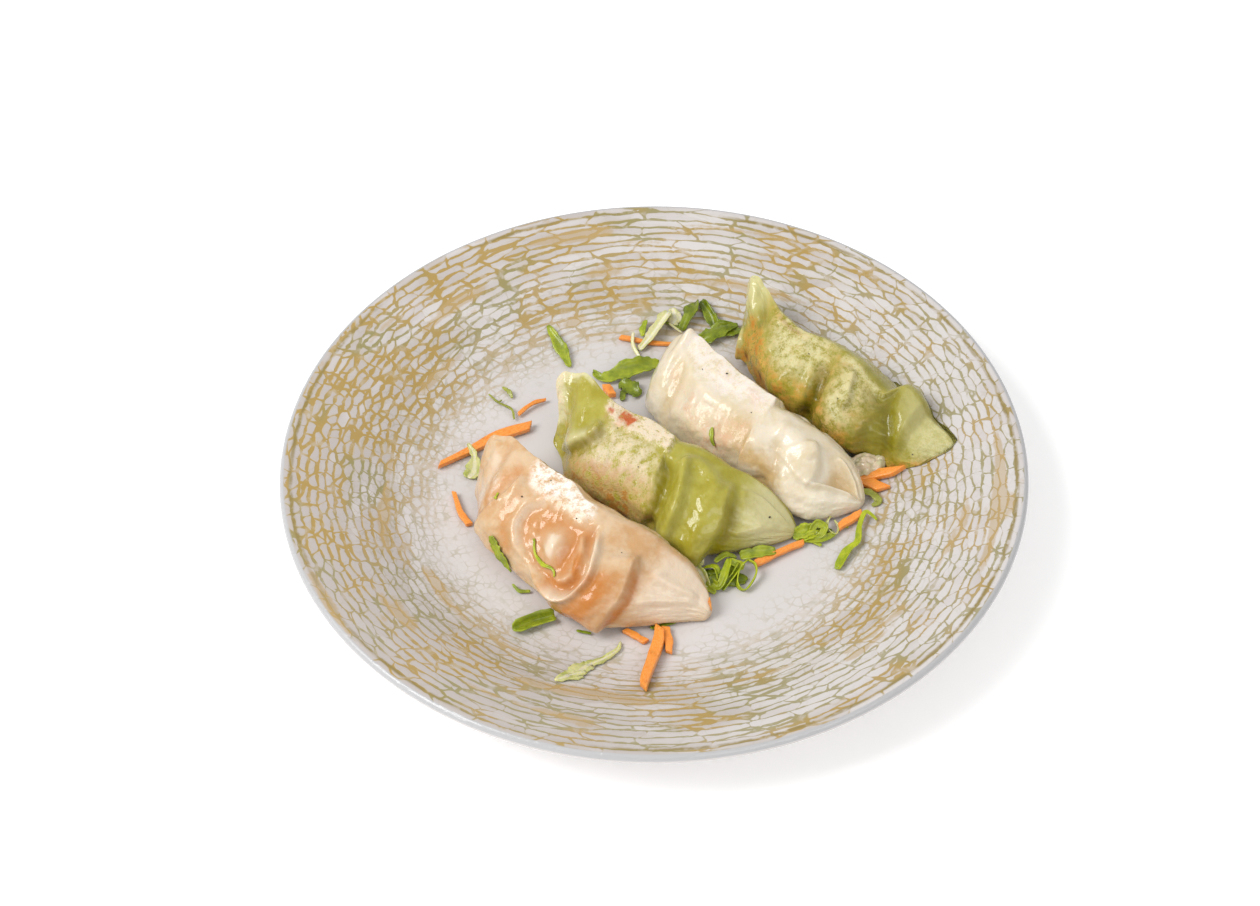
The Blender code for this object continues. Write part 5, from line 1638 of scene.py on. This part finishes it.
def cut_carrot(mesh, cut):
    """One shred: a bevelled bar with slanting ends, bent along its path."""
    way_layer, side_layer = own_layers(mesh)
    lengths = CARROT_STEPS * (len(cut.path) - 1)
    frames = along_path(cut.path, lengths)
    steps = list(zip(frames, frames[1:]))
    reach = sum((there[0] - here[0]).length for here, there in steps)
    bulk = sum(cut.widths) / len(cut.widths) * MM
    long = reach / bulk
    bmesh.ops.create_cube(mesh, size=1, matrix=Matrix.Diagonal((long, 1, 1, 1)))
    bmesh.ops.bevel(
        mesh, geom=mesh.edges[:], offset=EDGE_ROUNDING, offset_type="OFFSET", affect="EDGES",
        segments=3, profile=0.5, material=-1,
    )
    for step in range(1, lengths):
        everything = [*mesh.verts, *mesh.edges, *mesh.faces]
        middle = (step / lengths - 0.5) * long
        bmesh.ops.bisect_plane(mesh, geom=everything, plane_co=(middle, 0, 0), plane_no=(1, 0, 0))
    shares = np.linspace(0, 1, len(cut.widths))
    for vert in mesh.verts:
        share = (vert.co.x + vert.co.y * cut.slant) / long + 0.5
        within = min(max(share, 0.0), 1.0)
        step = min(int(within * lengths), lengths - 1)
        part = within * lengths - step
        spot, heading, side, normal = (a.lerp(b, part) for a, b in zip(*steps[step]))
        width = float(np.interp(within, shares, cut.widths)) * MM
        stray = noise.noise(Vector((within * 4, vert.co.y, cut.path[0][0])))
        width *= 1 + UNEVEN_CUT * stray
        angle = radians(cut.roll)
        level = side * cos(angle) + normal * sin(angle)
        rise = normal * cos(angle) - side * sin(angle)
        vert[way_layer] = within * FIBRE_LENGTHS
        vert[side_layer] = vert.co.y + vert.co.z * 0.6
        high = (vert.co.z + 0.5) * cut.thick * MM
        vert.co = spot + heading * (share - within) * reach + level * vert.co.y * width + rise * high
        vert.co.z = max(vert.co.z, float(plate_height(vert.co.xy.length)) + ON_PLATE)


for number, cut in enumerate(CARROTS, 1):
    mesh = bmesh.new()
    cut_carrot(mesh, cut)
    bmesh.ops.recalc_face_normals(mesh, faces=mesh.faces)
    piece(f"carrot_shred_{number}", mesh, carrot, f"carrot_{number}")
print(len(CARROTS), "carrot shreds cut")

# %% [markdown]
# A pale, nearly clear piece of cabbage leans between the two back dumplings. It is one cupped
# sheet with a ruffled lower edge.

# %% Cabbage
cabbage_look, tree, shader = new_finish(
    "cabbage", Subsurface_Weight=0.35, Subsurface_Scale=1.5 * MM, IOR=1.4,
    Subsurface_Radius=(1.0, 0.9, 0.6), Coat_Weight=0.5, Coat_Roughness=0.08, Roughness=0.22,
)
where = object_place(tree)
patch = clouds(tree, where, 320.0, 2.0, 0.6)
colour = blend(tree, span(tree, patch, 0.35, 0.65), (0.60, 0.48, 0.34), (0.50, 0.46, 0.27))
tree.links.new(colour, shader.inputs["Base Color"])
relief(tree, shader, patch, 0.3 * MM, 0.6)

CABBAGE_PLACE = (59.6, 6.2)
CABBAGE_REACH = (7.2, 5.2)
CABBAGE_HEIGHT = 4.6
CABBAGE_THICKNESS = 0.7 * MM
CABBAGE_GAP = 0.4  # millimetres off the plate at its edge

# Shares of its height.
RUFFLE = 0.16
CRUMPLE = 0.26
FINE_CRUMPLE = 0.10
CABBAGE_SINK = 0.08

mesh = bmesh.new()
bmesh.ops.create_grid(mesh, x_segments=44, y_segments=30, size=1)
for vert in mesh.verts:
    a, b = vert.co.x, vert.co.y
    ruffle = RUFFLE * sin(11 * a + 3 * b + 1) * ease(-0.3, 1.0, -b)
    dome = max(1 - a * a * 0.9 - (b + 0.1) ** 2 * 0.9, 0.0) ** 0.5
    x = CABBAGE_PLACE[0] + CABBAGE_REACH[0] * (a + 0.15 * b)
    y = CABBAGE_PLACE[1] + CABBAGE_REACH[1] * (b * 0.8 + 0.1 * a)
    fold = CRUMPLE * noise.noise(vert.co * 2.6) + FINE_CRUMPLE * noise.noise(vert.co * 7.0)
    rise = CABBAGE_HEIGHT * max(dome + fold + ruffle - CABBAGE_SINK, 0.0)
    vert.co = over_plate((x, y, CABBAGE_GAP + rise))
cabbage = piece("cabbage_piece", mesh, cabbage_look, "cabbage")
thicken(cabbage, CABBAGE_THICKNESS)
print("cabbage stands", CABBAGE_HEIGHT, "mm high")

# %% [markdown]
# ## Shreds and specks on the dumplings
#
# A few things cling to the skins: a leaf on the front dumpling's side, a squiggle of shred in
# its pocket, and grains of pepper. They are laid on the skin's own marks and stand off it along
# its normal, so they follow every fold.

# %% Things that cling to the skin
# Small steps that show which way the skin faces, as a share of the length and in degrees.
STEP_ALONG = 0.004
STEP_AROUND = 2.0
CLING_STEPS = 10
CLING_TEARS = 12


def on_gyoza(form, along, degrees, lift):
    """Places on the skin, lifted off it, and the ways that the skin faces there."""
    along, degrees, lift = (np.atleast_1d(np.array(v, float)) for v in (along, degrees, lift))
    here, ahead, around = (
        np.stack(gyoza_skin(form, a, np.radians(b))[:3], -1)
        for a, b in ((along, degrees), (along + STEP_ALONG, degrees), (along, degrees + STEP_AROUND))
    )
    out = np.cross(around - here, ahead - here)
    out /= np.linalg.norm(out, axis=-1, keepdims=True)
    return here + out * lift[:, None] * MM, out


def cling(mesh, form, line, widths, lift, curl=0.0, ragged=0.4, seed=1):
    """A ribbon that hugs the skin along a line of (along, degrees) marks."""
    lengths = CLING_STEPS * (len(line) - 1)
    spots = on_skin(form, line, lengths + 1)
    way_layer, side_layer = own_layers(mesh)
    made = bmesh.ops.create_grid(mesh, x_segments=lengths, y_segments=4, size=1)["verts"]
    places = []
    for vert in made:
        share, across = (vert.co.x + 1) / 2, vert.co.y
        step = round(share * lengths)
        heading = spots[min(step + 1, lengths)] - spots[max(step - 1, 0)]
        heading /= np.hypot(*heading)
        width = float(np.interp(share, np.linspace(0, 1, len(widths)), widths))
        width *= 1 + ragged * noise.noise(Vector((share * CLING_TEARS, across, seed)))
        spot = spots[step] + np.array((-heading[1], heading[0])) * across * width / 2
        places.append((*spot, lift + curl * across * across))
        vert[way_layer] = share
        vert[side_layer] = across
    x, y, high = np.array(places).T
    laid, _ = on_gyoza(form, x / form.length, np.degrees(y / GIRTH), high)
    for vert, place in zip(made, laid):
        vert.co = place


# Name, solid, finish, dumpling, and ribbons: a line on the skin, its widths, how far it stands
# off and how far its edges curl up, in millimetres.
CLINGING = [
    ("leaf_on_side", "leaf_on_gyoza", fresh_leaf, ORANGE, [
        ([(0.25, 168), (0.28, 174), (0.32, 181), (0.36, 188)], [2.0, 3.8, 3.8, 1.6], 0.4, 0.5),
    ]),
    ("squiggle", None, lime_leaf, ORANGE, [
        ([(0.40, 147), (0.43, 154), (0.48, 155), (0.52, 152), (0.55, 154)],
         [0.5, 0.6, 1.3, 0.8, 0.4], 0.4, 0.2),
        ([(0.19, 139), (0.20, 143)], [0.5, 0.9], 0.3, 0.1),
    ]),
    ("shred_on_white", None, fresh_leaf, WHITE, [
        ([(0.42, 152), (0.43, 157), (0.46, 165)], [0.8, 1.5, 0.8], 0.4, 0.2),
    ]),
    ("tip_crumb", None, carrot, ORANGE, [([(0.98, 78), (0.99, 98)], [0.8, 1.6], 0.2, 0.2)]),
]
for name, node, finish, form, ribbons in CLINGING:
    mesh = bmesh.new()
    for line, widths, lift, curl in ribbons:
        cling(mesh, form, line, widths, lift, curl)
    made = piece(name, mesh, finish, node)
    thicken(made, LEAF_THICKNESS)
print(len(CLINGING), "shreds cling to the skins")

# %% Pepper
pepper, tree, shader = new_finish("pepper", Roughness=0.7)
where = object_place(tree)
shade = clouds(tree, where, 2500.0, 2.0, 0.6)
colour = blend(tree, shade, (0.02, 0.015, 0.01), (0.12, 0.08, 0.04))
tree.links.new(colour, shader.inputs["Base Color"])

GRAIN_STAND = 0.4  # share of its radius by which a grain's middle stands off the skin
GRAIN_SHAPE = (1.0, 0.8, 0.6, 1.0)
GRAIN_LUMPS = 0.35

# The dumpling, the place on its skin and the grain's radius in millimetres.
GRAINS = [
    (ORANGE, 0.28, 128, 0.32), (ORANGE, 0.50, 110, 0.25), (ORANGE, 0.33, 104, 0.22),
    (ORANGE, 0.70, 112, 0.2),
    (GREEN, 0.92, 125, 0.34), (GREEN, 0.44, 137, 0.2), (GREEN, 0.30, 116, 0.2),
    (WHITE, 0.34, 105, 0.34), (WHITE, 0.24, 118, 0.2), (WHITE, 0.52, 122, 0.22),
    (REAR, 0.90, 150, 0.26), (REAR, 0.40, 118, 0.22), (REAR, 0.60, 130, 0.22),
]
mesh = bmesh.new()
for number, (form, along, degrees, size) in enumerate(GRAINS):
    found = on_gyoza(form, along, degrees, size * GRAIN_STAND)
    place, out = (Vector(rows[0]) for rows in found)
    turned = out.to_track_quat("Z", "Y").to_matrix().to_4x4()
    matrix = Matrix.Translation(place) @ turned @ Matrix.Diagonal(GRAIN_SHAPE)
    grain = bmesh.ops.create_icosphere(mesh, subdivisions=2, radius=size * MM, matrix=matrix)["verts"]
    for vert in grain:
        dent = noise.noise(vert.co * 6000 + Vector((number, 0, 0)))
        vert.co += (vert.co - place) * GRAIN_LUMPS * dent
piece("pepper_grains", mesh, pepper)
print(len(GRAINS), "grains of pepper")

# %% [markdown]
# ## The end
#
# The view layer is brought up to date.

# %% The end
bpy.context.view_layer.update()
